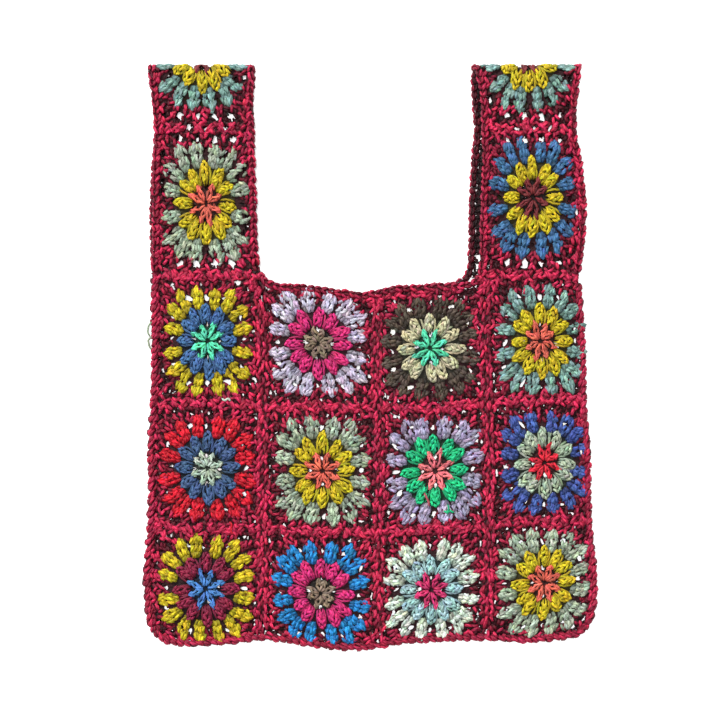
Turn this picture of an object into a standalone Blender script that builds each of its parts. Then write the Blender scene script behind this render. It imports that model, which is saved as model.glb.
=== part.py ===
"""A granny-square tote bag lying flat on its back, as crocheted solids.

Thirty squares make a front and a back of four columns by three rows and two
handles, each folded over at its top. Raised seams join the columns, one seam
closes the sides and the bottom, and chain edgings run round the mouth and the
handles. Lengths in the tables are millimetres: X to the right, Y towards the
handle tops, Z up from the surface that the back lies on.
"""

import math

import bmesh
import bpy
import numpy as np
from mathutils import Vector
from mathutils.geometry import delaunay_2d_cdt

MM = 0.001

# The crocheted fabric and how far the two layers lie apart
FABRIC = 4.0
HOLLOW = 7.0
CLOSED_HOLLOW = 0.8
CLOSING_WIDTH = 46.0
PIECE_GAP = 0.3

# The seams and edgings
SEAM_WIDTH = 8.0
SEAM_RIDGE = 1.3
EDGING_RADIUS = 2.6
EDGE_INSET = 2 * EDGING_RADIUS + 1.0
EDGING_STEP = 15.0
HANDLE_EDGING_LOW = 86.0
SIDE_SEAM_LEFT = 6.6
SIDE_SEAM_RIGHT = 4.6
SIDE_SEAM_ROUND = 2.0
SIDE_SEAM_RISE = 0.4
SIDE_SEAM_CREST = 0.3
BOTTOM_SEAM = 4.6
SEAM_CLEARANCE = 1.3
SEAM_CROWN = 0.45
SEAM_FOOT_Y = -250.0
SEAM_TOPS = (62.5, 51.5, 63.0)
SEAM_STEPS = {"front": 14.0, "back": 30.0}

# Heights of the middle of each layer, and the fold at the handle tops
BACK_MIDDLE = FABRIC / 2
FRONT_MIDDLE = FABRIC + HOLLOW + FABRIC / 2
FOLD_RADIUS = (FRONT_MIDDLE - BACK_MIDDLE) / 2
FOLD_HEIGHT = (FRONT_MIDDLE + BACK_MIDDLE) / 2
TOP_Y = 264.2
FOLD_Y = TOP_Y - FOLD_RADIUS - FABRIC / 2
HANDLE_SEAM_Y = 206.5
MOUTH_Y = 74.3
SIDE_TOP_Y = MOUTH_Y - 1.2
HANDLE_FOOT_Y = MOUTH_Y + 1.6
SQUARE_PITCH = 100.0
PLACING_ROUNDS = 12

# Column lines of the body from the bottom up: height, then where each line is
COLUMN_LINES = (
    # y, left side, seam 1, seam 2, seam 3, right side
    (-270.0, -190.0, -97.0, 8.0, 105.5, 184.0),
    (-254.0, -196.5, -97.0, 8.0, 105.8, 193.5),
    (-240.0, -201.5, -97.1, 8.1, 106.0, 201.0),
    (-223.0, -203.2, -97.2, 8.1, 106.2, 204.3),
    (-203.0, -204.6, -97.2, 8.1, 106.2, 204.6),
    (-184.0, -203.2, -97.2, 8.1, 106.3, 203.4),
    (-152.0, -200.5, -97.2, 8.1, 107.1, 199.8),
    (-119.0, -199.4, -96.8, 9.0, 108.0, 198.9),
    (-83.0, -200.7, -96.3, 8.1, 107.5, 198.9),
    (-43.0, -198.0, -96.3, 7.2, 105.3, 194.6),
    (-2.0, -196.7, -96.8, 5.6, 104.6, 194.4),
    (34.0, -197.1, -97.6, 5.8, 104.0, 192.6),
    (62.0, -197.5, -99.2, 6.6, 103.2, 190.5),
    (75.0, -197.5, -100.2, 7.0, 103.0, 189.0),
)
# Row lines of the body from left to right: place, then where each line is
ROW_LINES = (
    # x, bottom, row 3 to 2, row 2 to 1, top of the squares
    (-204.0, -246.0, -150.8, -41.0, 74.1),
    (-196.0, -252.5, -151.4, -41.0, 74.1),
    (-185.0, -257.5, -152.3, -41.2, 74.1),
    (-167.0, -260.5, -153.3, -41.4, 74.1),
    (-131.0, -258.8, -154.1, -42.0, 74.1),
    (-103.0, -254.6, -155.0, -42.6, 74.1),
    (-96.0, -254.3, -155.3, -42.8, 60.5),
    (-77.0, -256.5, -156.2, -43.6, 59.3),
    (-50.0, -260.8, -157.1, -44.6, 57.4),
    (-23.0, -264.2, -157.1, -45.2, 52.8),
    (-5.0, -263.4, -157.1, -45.5, 51.4),
    (8.0, -262.0, -156.9, -45.5, 53.0),
    (26.0, -258.2, -156.1, -45.5, 56.8),
    (57.0, -256.2, -155.3, -45.5, 60.2),
    (103.0, -254.3, -151.9, -42.0, 60.8),
    (107.0, -254.5, -151.6, -41.7, 74.1),
    (139.0, -257.4, -147.8, -38.6, 74.1),
    (170.0, -254.6, -146.9, -38.0, 74.1),
    (190.0, -252.0, -146.5, -37.6, 74.1),
    (205.0, -240.0, -146.3, -37.4, 74.1),
)
# Edges of the handles from the mouth up, on the front and on the back
HANDLE_LINES = {
    "front": (
        # y, left handle's outer and inner edge, right handle's inner and outer edge
        (MOUTH_Y, -196.6, -99.4, 99.0, 189.0),
        (106.0, -195.3, -102.0, 99.2, 193.5),
        (141.7, -195.3, -102.6, 100.0, 194.4),
        (173.0, -195.0, -103.8, 102.0, 191.0),
        (HANDLE_SEAM_Y, -192.6, -104.4, 101.0, 184.8),
        (228.0, -195.3, -106.2, 100.4, 186.3),
        (249.7, -198.0, -104.6, 98.2, 188.4),
        (TOP_Y, -199.8, -104.0, 92.4, 190.8),
    ),
    "back": (
        (MOUTH_Y, -196.8, -99.8, 88.4, 189.0),
        (106.0, -198.4, -104.6, 89.6, 186.0),
        (141.7, -198.6, -106.2, 90.0, 184.4),
        (173.0, -196.8, -106.0, 91.6, 184.0),
        (HANDLE_SEAM_Y, -193.6, -105.0, 95.0, 184.2),
        (228.0, -195.6, -106.4, 92.9, 184.6),
        (249.7, -198.2, -104.8, 91.6, 187.2),
        (TOP_Y, -199.8, -104.0, 92.4, 190.8),
    ),
}
# Middle line of the mouth edging between the handles, left to right
MOUTH_LINE = {
    "front": (
        # x, y
        (-100.9, 77.5), (-98.6, 72.0), (-94.4, 67.4), (-88.0, 64.8), (-77.0, 63.0),
        (-59.0, 62.6), (-41.0, 60.2), (-23.0, 57.4), (-5.0, 55.6), (8.0, 58.2),
        (22.0, 61.4), (40.0, 62.0), (58.0, 63.6), (76.0, 63.8), (88.0, 64.6),
        (95.0, 67.4), (99.6, 72.2), (101.4, 78.5),
    ),
    "back": (
        (-101.4, 77.5), (-98.6, 72.0), (-94.4, 67.4), (-88.0, 64.8), (-77.0, 63.0),
        (-59.0, 62.6), (-41.0, 60.2), (-23.0, 57.4), (-5.0, 55.6), (8.0, 58.2),
        (22.0, 61.4), (40.0, 62.0), (58.0, 63.6), (72.0, 64.2), (81.0, 66.4),
        (87.0, 71.0), (90.2, 77.0),
    ),
}
# Where the side seam has its sections, from the mouth down, and the bottom seam from left to right
SIDE_LEVELS = (
    SIDE_TOP_Y, 62, 48, 34, 16, -2, -22, -43, -63, -83,
    -101, -119, -136, -152, -172, -191, -207, -223, -236,
)
BOTTOM_PLACES = (
    -197.5, -190, -179, -167, -149, -131, -113, -96, -77, -60, -41, -23, -5,
    8, 26, 42, 57, 80, 103, 121, 139, 155, 170, 184, 196,
)

# A square is laid out from -1 to 1 both ways between its own edges
PETALS = 12
PETAL_CREST = 0.50
PETAL_VALLEY = 0.46
PETAL_RISE = 0.7
VALLEY_DROP = 0.5
SIDE_CLUSTER = (0.22, 0.79)
CORNER_CLUSTER = (0.52, 0.81)
CLUSTER_VALLEY = (0.37, 0.73)
CENTRE_VALLEY = (0.24, 0.24)
CORNER_VALLEY = (0.62, 0.62)
GAP_HALF = 0.055
CENTRE_GAP_AT = 0.285
SIDE_GAP_AT = 0.76
CORNER_GAP_AT = (0.70, 0.895)
CORNER_REACH = 0.955
RIM_STEPS = 4

# The folded square: lines across it in its own places, rows up its straight part, and its gaps
FOLD_STEPS = 6
FOLD_COLUMNS = (-1.0, -0.62, -0.5, -0.06, 0.06, 0.5, 0.62, 1.0)
FOLD_ROWS = (0.0, 9.5, 15.0, 33.0, 38.5)
FOLD_GAPS = ((1, 1), (5, 1), (1, 3), (5, 3))

# Yarns, and the yarn of each square's widest coloured round
YARNS = {
    "crimson": (0.42, 0.012, 0.075),
    "sage": (0.36, 0.42, 0.33),
    "steel_blue": (0.045, 0.15, 0.42),
    "mustard": (0.60, 0.47, 0.02),
    "lavender": (0.50, 0.42, 0.62),
    "charcoal": (0.035, 0.028, 0.026),
    "teal": (0.20, 0.45, 0.46),
    "scarlet": (0.62, 0.012, 0.03),
    "royal_blue": (0.03, 0.06, 0.40),
    "azure": (0.02, 0.20, 0.60),
    "ivory": (0.68, 0.68, 0.58),
}
SQUARE_YARNS = {
    "front_top": ("mustard", "lavender", "charcoal", "teal"),
    "front_middle": ("scarlet", "sage", "lavender", "royal_blue"),
    "front_bottom": ("mustard", "azure", "ivory", "sage"),
    "back_top": ("sage", "teal", "mustard", "lavender"),
    "back_middle": ("royal_blue", "ivory", "sage", "mustard"),
    "back_bottom": ("sage", "scarlet", "azure", "steel_blue"),
}
HANDLE_YARNS = {
    "strap_front": ("sage", "steel_blue"),
    "strap_back": ("steel_blue", "sage"),
    "strap_fold": ("teal", "teal"),
}
ROWS = ("top", "middle", "bottom")
SIDES = ("left", "right")


def clear_scene():
    for old in list(bpy.data.objects):
        bpy.data.objects.remove(old, do_unlink=True)


def yarn_material(yarn):
    """A matte cotton finish in that yarn's colour."""
    found = bpy.data.materials.get(yarn)
    if found:
        return found
    made = bpy.data.materials.new(yarn)
    made.use_nodes = True
    shader = made.node_tree.nodes["Principled BSDF"]
    shader.inputs["Base Color"].default_value = (*YARNS[yarn], 1.0)
    shader.inputs["Roughness"].default_value = 0.85
    shader.inputs["Metallic"].default_value = 0.0
    return made


def finish_object(name, mesh, yarn):
    """Links the mesh as one named piece of the bag."""
    piece = bpy.data.objects.new(name, mesh)
    bag.objects.link(piece)
    piece.parent = bag_frame
    mesh.materials.clear()
    mesh.materials.append(yarn_material(yarn))
    return piece


def read(table, column, at):
    """A table's column at the given places, straight between its rows."""
    rows = np.array(table)
    return np.interp(at, rows[:, 0], rows[:, column])


def ease(t):
    t = np.clip(t, 0, 1)
    return t * t * (3 - 2 * t)


def hollow_at(x, y):
    """How far apart the two layers lie: closed at the sides and bottom, open at the mouth."""
    x, y = np.asarray(x, float), np.asarray(y, float)
    level = np.minimum(y, MOUTH_Y)
    left = np.hypot(x - read(COLUMN_LINES, 1, level), y - level)
    right = np.hypot(read(COLUMN_LINES, 5, level) - x, y - level)
    bottom = y - read(ROW_LINES, 1, x)
    near = np.minimum(np.minimum(left, right), bottom)
    return CLOSED_HOLLOW + (HOLLOW - CLOSED_HOLLOW) * ease(near / CLOSING_WIDTH)


def front_middle(x, y):
    return FABRIC + hollow_at(x, y) + FABRIC / 2


def lay_front(x, y, out):
    """A point of the front layer, out millimetres outside its middle."""
    return x, y, front_middle(x, y) + out


def lay_back(x, y, out):
    """A point of the back layer, whose outside faces down."""
    return x, y, BACK_MIDDLE - out


def body_square(column, row):
    """Maps a square's own places to the body, for one column and row."""
    by_seam = SEAM_WIDTH / 2 + PIECE_GAP
    left = SIDE_SEAM_LEFT + SEAM_CLEARANCE if column == 0 else by_seam
    right = SIDE_SEAM_RIGHT + SEAM_CLEARANCE if column == 3 else by_seam
    bottom = BOTTOM_SEAM + SEAM_CLEARANCE if row == 2 else PIECE_GAP / 2
    top = PIECE_GAP / 2

    def place(u, v):
        x = SQUARE_PITCH * (column - 1.5 + u / 2)
        y = SQUARE_PITCH * (v / 2 - row)
        for _ in range(PLACING_ROUNDS):
            low = read(COLUMN_LINES, column + 1, y) + left
            high = read(COLUMN_LINES, column + 2, y) - right
            x = low + (high - low) * (u + 1) / 2
            low = read(ROW_LINES, 3 - row, x) + bottom
            high = read(ROW_LINES, 4 - row, x) - top
            y = low + (high - low) * (v + 1) / 2
        return x, y

    return place


def handle_square(layer, side):
    """Maps a handle square's own places to that layer, for the left or right handle."""
    first = 1 + 2 * SIDES.index(side)

    def place(u, v):
        low = MOUTH_Y + PIECE_GAP / 2
        y = low + (HANDLE_SEAM_Y - PIECE_GAP / 2 - low) * (v + 1) / 2
        left = read(HANDLE_LINES[layer], first, y) + EDGE_INSET
        right = read(HANDLE_LINES[layer], first + 1, y) - EDGE_INSET
        return left + (right - left) * (u + 1) / 2, y

    return place


def round_fold(along, radius, middle_height):
    """Place and turn, going up the front by along, over the fold and down the back."""
    straight = FOLD_Y - HANDLE_SEAM_Y
    turn = np.clip((along - straight) / radius, 0, math.pi)
    past = np.maximum(along - straight - math.pi * radius, 0)
    before = np.minimum(along, straight)
    y = HANDLE_SEAM_Y + before + radius * np.sin(turn) - past
    z = middle_height + radius * np.cos(turn)
    return y, z, turn


def fold_width(side, y, turn):
    """The handle's two edges at the fold, passing from the front's to the back's."""
    first = 1 + 2 * SIDES.index(side)
    share = ease(turn / math.pi)
    edges = [
        read(HANDLE_LINES["front"], column, y) * (1 - share)
        + read(HANDLE_LINES["back"], column, y) * share
        for column in (first, first + 1)
    ]
    return edges


def diamond(at, half):
    """Corners of a gap in the crochet."""
    (u, v), (du, dv) = at, half
    return [(u + du, v), (u, v + dv), (u - du, v), (u, v - dv)]


def turned(point, quarter):
    """The point after so many quarter turns about the square's centre."""
    u, v = point
    for _ in range(quarter):
        u, v = -v, u
    return u, v


def polar(radius, degrees):
    return radius * math.cos(math.radians(degrees)), radius * math.sin(math.radians(degrees))


def gaps_of(with_centre):
    """The larger gaps in one square: beside the corners, at the sides and round the centre."""
    half = (GAP_HALF, GAP_HALF)
    loops = [diamond(turned((SIDE_GAP_AT, 0), q), half) for q in range(4)]
    corner_u, corner_v = CORNER_GAP_AT
    loops += [diamond((u * corner_u, v * corner_v), half) for u in (-1, 1) for v in (-1, 1)]
    if with_centre:
        loops += [diamond(turned((CENTRE_GAP_AT, 0), q), half) for q in range(4)]
    return loops


def raised_spots():
    """Crests and valleys of the petals and clusters: place in the square and rise."""
    spots = [((0, 0), PETAL_RISE)]
    step = 360 / PETALS
    for petal in range(PETALS):
        spots.append((polar(PETAL_CREST, step * petal), PETAL_RISE))
        spots.append((polar(PETAL_VALLEY, step * (petal + 0.5)), -VALLEY_DROP))
    for quarter in range(4):
        spots.append((turned(CENTRE_VALLEY, quarter), -VALLEY_DROP / 2))
        spots.append((turned(CORNER_VALLEY, quarter), -VALLEY_DROP / 2))
        for mirror in (-1, 1):
            for (u, v), rise in (
                (SIDE_CLUSTER, PETAL_RISE),
                (CORNER_CLUSTER, PETAL_RISE),
                (CLUSTER_VALLEY, -VALLEY_DROP),
            ):
                spots.append((turned((mirror * u, v), quarter), rise))
    return spots


def rim():
    """Places round the edge of a square, with its corners drawn in."""
    side = [(1, 2 * i / RIM_STEPS - 1) for i in range(1, RIM_STEPS)]
    side = [(CORNER_REACH, -CORNER_REACH), *side]
    return [turned(place, quarter) for quarter in range(4) for place in side]


def flat_plate(loops, edge, spots):
    """Triangles of the flat square between its rim and its gaps, with each point's rise."""
    points, rises, borders = [], [], []
    for loop in [edge, *loops]:
        first = len(points)
        count = len(loop)
        borders += [(first + i, first + (i + 1) % count) for i in range(count)]
        points += loop
        rises += [0.0] * count
    for point, rise in spots:
        points.append(point)
        rises.append(rise)
    made = delaunay_2d_cdt([Vector(p) for p in points], borders, [], 0, 1e-6)
    verts, faces = np.array([tuple(v) for v in made[0]]), made[2]
    kept = []
    for face in faces:
        centre = verts[list(face)].mean(0)
        inside = [
            abs(centre[0] - np.mean([p[0] for p in loop])) / GAP_HALF
            + abs(centre[1] - np.mean([p[1] for p in loop])) / GAP_HALF < 1
            for loop in loops
        ]
        if not any(inside):
            kept.append(face)
    source = [made[3][i][0] for i in range(len(verts))]
    return verts, kept, np.array([rises[i] for i in source])


def thick_mesh(name, verts, faces, rises, lay):
    """A plate as thick as the fabric, laid on the bag by lay(u, v, out)."""
    shape = bmesh.new()
    flat = [shape.verts.new((u, v, -1.0)) for u, v in verts]
    sheet = [shape.faces.new([flat[i] for i in face]) for face in faces]
    grown = bmesh.ops.extrude_face_region(shape, geom=sheet)
    upper = [g for g in grown["geom"] if isinstance(g, bmesh.types.BMVert)]
    bmesh.ops.translate(shape, verts=upper, vec=(0, 0, 2))
    places = {(round(u, 6), round(v, 6)): r for (u, v), r in zip(verts, rises)}
    for vert in shape.verts:
        u, v, face_side = vert.co
        rise = places[(round(u, 6), round(v, 6))]
        vert.co = Vector([float(c) * MM for c in lay(u, v, face_side * FABRIC / 2 + rise)])
    bmesh.ops.triangulate(shape, faces=shape.faces[:])
    bmesh.ops.recalc_face_normals(shape, faces=shape.faces[:])
    mesh = bpy.data.meshes.new(name)
    shape.to_mesh(mesh)
    shape.free()
    return mesh


def make_square(name, yarn, place, lay, worked):
    """One granny square. The worked ones have their petals and clusters raised."""
    spots = raised_spots() if worked else []
    verts, faces, rises = flat_plate(gaps_of(worked), rim(), spots)

    def on_bag(u, v, out):
        x, y = place(u, v)
        return lay(x, y, out)

    finish_object(name, thick_mesh(name, verts, faces, rises, on_bag), yarn)


def make_fold(name, yarn, side):
    """The square at a handle's top, bent in half over the fold, with eight gaps."""
    straight = FOLD_Y - HANDLE_SEAM_Y - PIECE_GAP / 2
    length = 2 * straight + math.pi * FOLD_RADIUS
    bend_length = math.pi * FOLD_RADIUS
    bend = [length / 2 + bend_length * (i / FOLD_STEPS - 0.5) for i in range(FOLD_STEPS + 1)]
    rows = [*FOLD_ROWS, *bend, *(length - r for r in reversed(FOLD_ROWS))]
    last = len(rows) - 2
    gap_cells = {*FOLD_GAPS, *((c, last - r) for c, r in FOLD_GAPS)}
    shape = bmesh.new()
    grid = [[shape.verts.new((u, s, -1.0)) for s in rows] for u in FOLD_COLUMNS]
    for c in range(len(FOLD_COLUMNS) - 1):
        for r in range(len(rows) - 1):
            if (c, r) not in gap_cells:
                shape.faces.new((grid[c][r], grid[c + 1][r], grid[c + 1][r + 1], grid[c][r + 1]))
    grown = bmesh.ops.extrude_face_region(shape, geom=shape.faces[:])
    upper = [g for g in grown["geom"] if isinstance(g, bmesh.types.BMVert)]
    bmesh.ops.translate(shape, verts=upper, vec=(0, 0, 2))
    for vert in shape.verts:
        u, along, face_side = vert.co
        out = face_side * FABRIC / 2
        y, z, turn = round_fold(along + PIECE_GAP / 2, FOLD_RADIUS, FOLD_HEIGHT)
        left, right = fold_width(side, y, turn)
        left, right = left + EDGE_INSET, right - EDGE_INSET
        x = left + (right - left) * (u + 1) / 2
        y, z = y + out * math.sin(turn), z + out * math.cos(turn)
        vert.co = Vector((float(x), float(y), float(z))) * MM
    bmesh.ops.recalc_face_normals(shape, faces=shape.faces[:])
    mesh = bpy.data.meshes.new(name)
    shape.to_mesh(mesh)
    shape.free()
    finish_object(name, mesh, yarn)


def loft(name, yarn, sections):
    """A closed solid through sections of like corners, capped at both ends."""
    shape = bmesh.new()
    rings = [[shape.verts.new(Vector(p) * MM) for p in section] for section in sections]
    sides = len(rings[0])
    for ring, after in zip(rings, rings[1:]):
        for i in range(sides):
            j = (i + 1) % sides
            shape.faces.new((ring[i], ring[j], after[j], after[i]))
    shape.faces.new(list(reversed(rings[0])))
    shape.faces.new(rings[-1])
    bmesh.ops.triangulate(shape, faces=shape.faces[:])
    bmesh.ops.recalc_face_normals(shape, faces=shape.faces[:])
    mesh = bpy.data.meshes.new(name)
    shape.to_mesh(mesh)
    shape.free()
    finish_object(name, mesh, yarn)


def column_seam(layer, number):
    """One raised seam between two columns, from just above the bottom seam to the mouth."""
    half, crown = SEAM_WIDTH / 2, SEAM_WIDTH / 2 * SEAM_CROWN
    foot_x = float(read(COLUMN_LINES, number + 1, SEAM_FOOT_Y))
    bottom = float(read(ROW_LINES, 1, foot_x)) + BOTTOM_SEAM + SEAM_CLEARANCE
    top = SEAM_TOPS[number - 1]
    count = round((top - bottom) / SEAM_STEPS[layer])
    sections = []
    for i in range(count + 1):
        y = bottom + (top - bottom) * i / count
        x = float(read(COLUMN_LINES, number + 1, y))
        if layer == "front":
            z = float(front_middle(x, y))
            low, high = z - FABRIC / 2, z + FABRIC / 2
            sections.append([
                (x - half, y, low), (x + half, y, low), (x + half, y, high),
                (x + crown, y, high + SEAM_RIDGE), (x - crown, y, high + SEAM_RIDGE),
                (x - half, y, high),
            ])
        else:
            sections.append([
                (x - half, y, 0.0), (x + half, y, 0.0), (x + half, y, FABRIC), (x - half, y, FABRIC),
            ])
    loft(f"{layer}_seam_{number}", "crimson", sections)


def side_and_bottom_path():
    """Outer points of the side and bottom seam with their inward directions and widths."""
    left = [(float(read(COLUMN_LINES, 1, y)), y) for y in SIDE_LEVELS]
    right = [(float(read(COLUMN_LINES, 5, y)), y) for y in reversed(SIDE_LEVELS)]
    bottom = [(x, float(read(ROW_LINES, 1, x))) for x in BOTTOM_PLACES]
    points = np.array(left + bottom + right)
    widths = np.repeat(
        [SIDE_SEAM_LEFT, BOTTOM_SEAM, SIDE_SEAM_RIGHT], [len(left), len(bottom), len(right)]
    )
    along = np.gradient(points, axis=0)
    along /= np.linalg.norm(along, axis=1)[:, None]
    inward = np.stack([-along[:, 1], along[:, 0]], 1)
    return points, inward, widths


def side_bottom_seam():
    """The seam that closes the two layers along the sides and the bottom."""
    sections = []
    for (x, y), (inx, iny), width in zip(*side_and_bottom_path()):
        crest = width * SIDE_SEAM_CREST
        ix, iy = x + inx * width, y + iny * width
        cx, cy = x + inx * crest, y + iny * crest
        top = float(front_middle(x, y)) + FABRIC / 2
        sections.append([
            (cx, cy, 0.0), (ix, iy, 0.0), (ix, iy, top), (cx, cy, top + SIDE_SEAM_RISE),
            (x, y, top - SIDE_SEAM_ROUND), (x, y, SIDE_SEAM_ROUND),
        ])
    loft("side_bottom_seam", "crimson", sections)


def edging_tube(name, route, closed):
    """A chain edging as a round cord of crochet along its route."""
    curve = bpy.data.curves.new(name, "CURVE")
    curve.dimensions = "3D"
    curve.bevel_depth = EDGING_RADIUS * MM
    curve.bevel_resolution = 1
    curve.use_fill_caps = not closed
    line = curve.splines.new("POLY")
    line.points.add(len(route) - 1)
    for point, (x, y, z) in zip(line.points, route):
        point.co = (x * MM, y * MM, z * MM, 1)
    line.use_cyclic_u = closed
    drawn = bpy.data.objects.new(name + "_line", curve)
    bag.objects.link(drawn)
    bpy.context.view_layer.update()
    mesh = bpy.data.meshes.new_from_object(drawn.evaluated_get(bpy.context.evaluated_depsgraph_get()))
    bpy.data.objects.remove(drawn, do_unlink=True)
    shape = bmesh.new()
    shape.from_mesh(mesh)
    bmesh.ops.remove_doubles(shape, verts=shape.verts[:], dist=1e-6)
    bmesh.ops.triangulate(shape, faces=shape.faces[:])
    bmesh.ops.recalc_face_normals(shape, faces=shape.faces[:])
    shape.to_mesh(mesh)
    shape.free()
    mesh.name = name
    piece = finish_object(name, mesh, "crimson")
    piece.data.shade_smooth()


def edging_height(layer, x, y):
    """Height of an edging's middle, kept clear of the edging below it."""
    if layer == "back":
        return EDGING_RADIUS
    return max(float(front_middle(x, y)), 3 * EDGING_RADIUS + PIECE_GAP)


def handle_edge(layer, side, inner, low):
    """Middle points of an edging up one edge of a handle, from low to the fold."""
    column = 1 + 2 * SIDES.index(side) + (1 if inner == (side == "left") else 0)
    inward = EDGING_RADIUS if column % 2 else -EDGING_RADIUS
    count = round((FOLD_Y - low) / EDGING_STEP)
    points = []
    for i in range(count + 1):
        y = low + (FOLD_Y - low) * i / count
        x = float(read(HANDLE_LINES[layer], column, y)) + inward
        points.append((x, y, edging_height(layer, x, y)))
    return points, column, inward


def over_the_fold(column, inward):
    """Middle points of an edging over the fold, without its two ends."""
    front, back = FRONT_MIDDLE, EDGING_RADIUS
    radius, middle = (front - back) / 2, (front + back) / 2
    points = []
    for i in range(1, FOLD_STEPS):
        turn = math.pi * i / FOLD_STEPS
        y = FOLD_Y + radius * math.sin(turn)
        share = float(ease(i / FOLD_STEPS))
        x = (
            float(read(HANDLE_LINES["front"], column, y)) * (1 - share)
            + float(read(HANDLE_LINES["back"], column, y)) * share
        )
        points.append((x + inward, y, middle + radius * math.cos(turn)))
    return points


def handle_loop(side, inner, low):
    """An edging's whole way up one edge of a handle, over the fold and down the back."""
    up, column, inward = handle_edge("front", side, inner, low)
    down, _, _ = handle_edge("back", side, inner, low)
    return up + over_the_fold(column, inward) + down[::-1]


def neck_edging():
    """The edging round the mouth and up the inner edges of both handles, one loop."""
    front = [(x, y, edging_height("front", x, y)) for x, y in MOUTH_LINE["front"]]
    back = [(x, y, edging_height("back", x, y)) for x, y in MOUTH_LINE["back"]]
    right = handle_loop("right", True, HANDLE_EDGING_LOW)
    left = handle_loop("left", True, HANDLE_EDGING_LOW)
    edging_tube("neck_edging", front + right + back[::-1] + left[::-1], closed=True)


clear_scene()
bag = bpy.data.collections.new("crochet_handbag")
bpy.context.scene.collection.children.link(bag)
bag_frame = bpy.data.objects.new("handbag_frame", None)
bag.objects.link(bag_frame)

for row, row_name in enumerate(ROWS):
    for column in range(4):
        for layer, lay in (("front", lay_front), ("back", lay_back)):
            group = f"{layer}_{row_name}"
            make_square(
                f"{group}_{column + 1}", SQUARE_YARNS[group][column],
                body_square(column, row), lay, worked=layer == "front",
            )
for index, side in enumerate(SIDES):
    for layer, lay in (("front", lay_front), ("back", lay_back)):
        group = f"strap_{layer}"
        make_square(
            f"{group}_{side}", HANDLE_YARNS[group][index],
            handle_square(layer, side), lay, worked=layer == "front",
        )
    make_fold(f"strap_fold_{side}", HANDLE_YARNS["strap_fold"][index], side)
for number in (1, 2, 3):
    column_seam("front", number)
    column_seam("back", number)
side_bottom_seam()
neck_edging()
for side in SIDES:
    edging_tube(f"handle_edging_{side}", handle_loop(side, False, HANDLE_FOOT_Y), closed=False)
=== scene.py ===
import math

import bpy
import numpy as np
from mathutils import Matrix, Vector
from mathutils.geometry import delaunay_2d_cdt


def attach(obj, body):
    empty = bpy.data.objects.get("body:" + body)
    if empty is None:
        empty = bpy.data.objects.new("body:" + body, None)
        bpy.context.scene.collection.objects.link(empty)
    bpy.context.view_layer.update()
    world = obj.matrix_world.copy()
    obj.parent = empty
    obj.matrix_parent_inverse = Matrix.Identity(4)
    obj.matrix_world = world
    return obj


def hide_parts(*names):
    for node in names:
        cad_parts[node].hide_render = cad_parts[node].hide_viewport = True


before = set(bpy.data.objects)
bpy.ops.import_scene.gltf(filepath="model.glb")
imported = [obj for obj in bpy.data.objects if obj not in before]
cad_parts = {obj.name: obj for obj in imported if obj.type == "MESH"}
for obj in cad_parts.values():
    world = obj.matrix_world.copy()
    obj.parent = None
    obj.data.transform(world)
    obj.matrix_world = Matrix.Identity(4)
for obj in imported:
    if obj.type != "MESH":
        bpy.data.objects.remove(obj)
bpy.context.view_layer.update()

# The front of the body is twelve granny squares, crocheted in rounds from the middle
# out: a star, a round of puffed petals, a round of clusters and a crimson border.
# All are worsted cotton. They are worked one by one and then joined edge to edge.
MM = 0.001
FABRIC, HOLLOW = 4.0, 7.0
CLOSED_HOLLOW, CLOSING_WIDTH = 0.8, 46.0
PIECE_GAP = 0.3
SEAM_WIDTH, SEAM_CLEARANCE = 8.0, 1.3
SIDE_SEAM_LEFT, SIDE_SEAM_RIGHT, BOTTOM_SEAM = 6.6, 4.6, 4.6
BACK_MIDDLE = FABRIC / 2
FRONT_MIDDLE = FABRIC + HOLLOW + FABRIC / 2
BACK_FLAT, BACK_SUNK = 0.6, 0.3
MOUTH_Y = 74.3
COLUMNS, SQUARE_PITCH, PLACING_ROUNDS = 4, 100.0, 12

# Column lines of the body from the bottom up: height, then where each line is
COLUMN_LINES = np.array((
    # y, left side, seam 1, seam 2, seam 3, right side
    (-270.0, -190.0, -97.0, 8.0, 105.5, 184.0),
    (-254.0, -196.5, -97.0, 8.0, 105.8, 193.5),
    (-240.0, -201.5, -97.1, 8.1, 106.0, 201.0),
    (-223.0, -203.2, -97.2, 8.1, 106.2, 204.3),
    (-203.0, -204.6, -97.2, 8.1, 106.2, 204.6),
    (-184.0, -203.2, -97.2, 8.1, 106.3, 203.4),
    (-152.0, -200.5, -97.2, 8.1, 107.1, 199.8),
    (-119.0, -199.4, -96.8, 9.0, 108.0, 198.9),
    (-83.0, -200.7, -96.3, 8.1, 107.5, 198.9),
    (-43.0, -198.0, -96.3, 7.2, 105.3, 194.6),
    (-2.0, -196.7, -96.8, 5.6, 104.6, 194.4),
    (34.0, -197.1, -97.6, 5.8, 104.0, 192.6),
    (62.0, -197.5, -99.2, 6.6, 103.2, 190.5),
    (75.0, -197.5, -100.2, 7.0, 103.0, 189.0),
))
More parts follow.
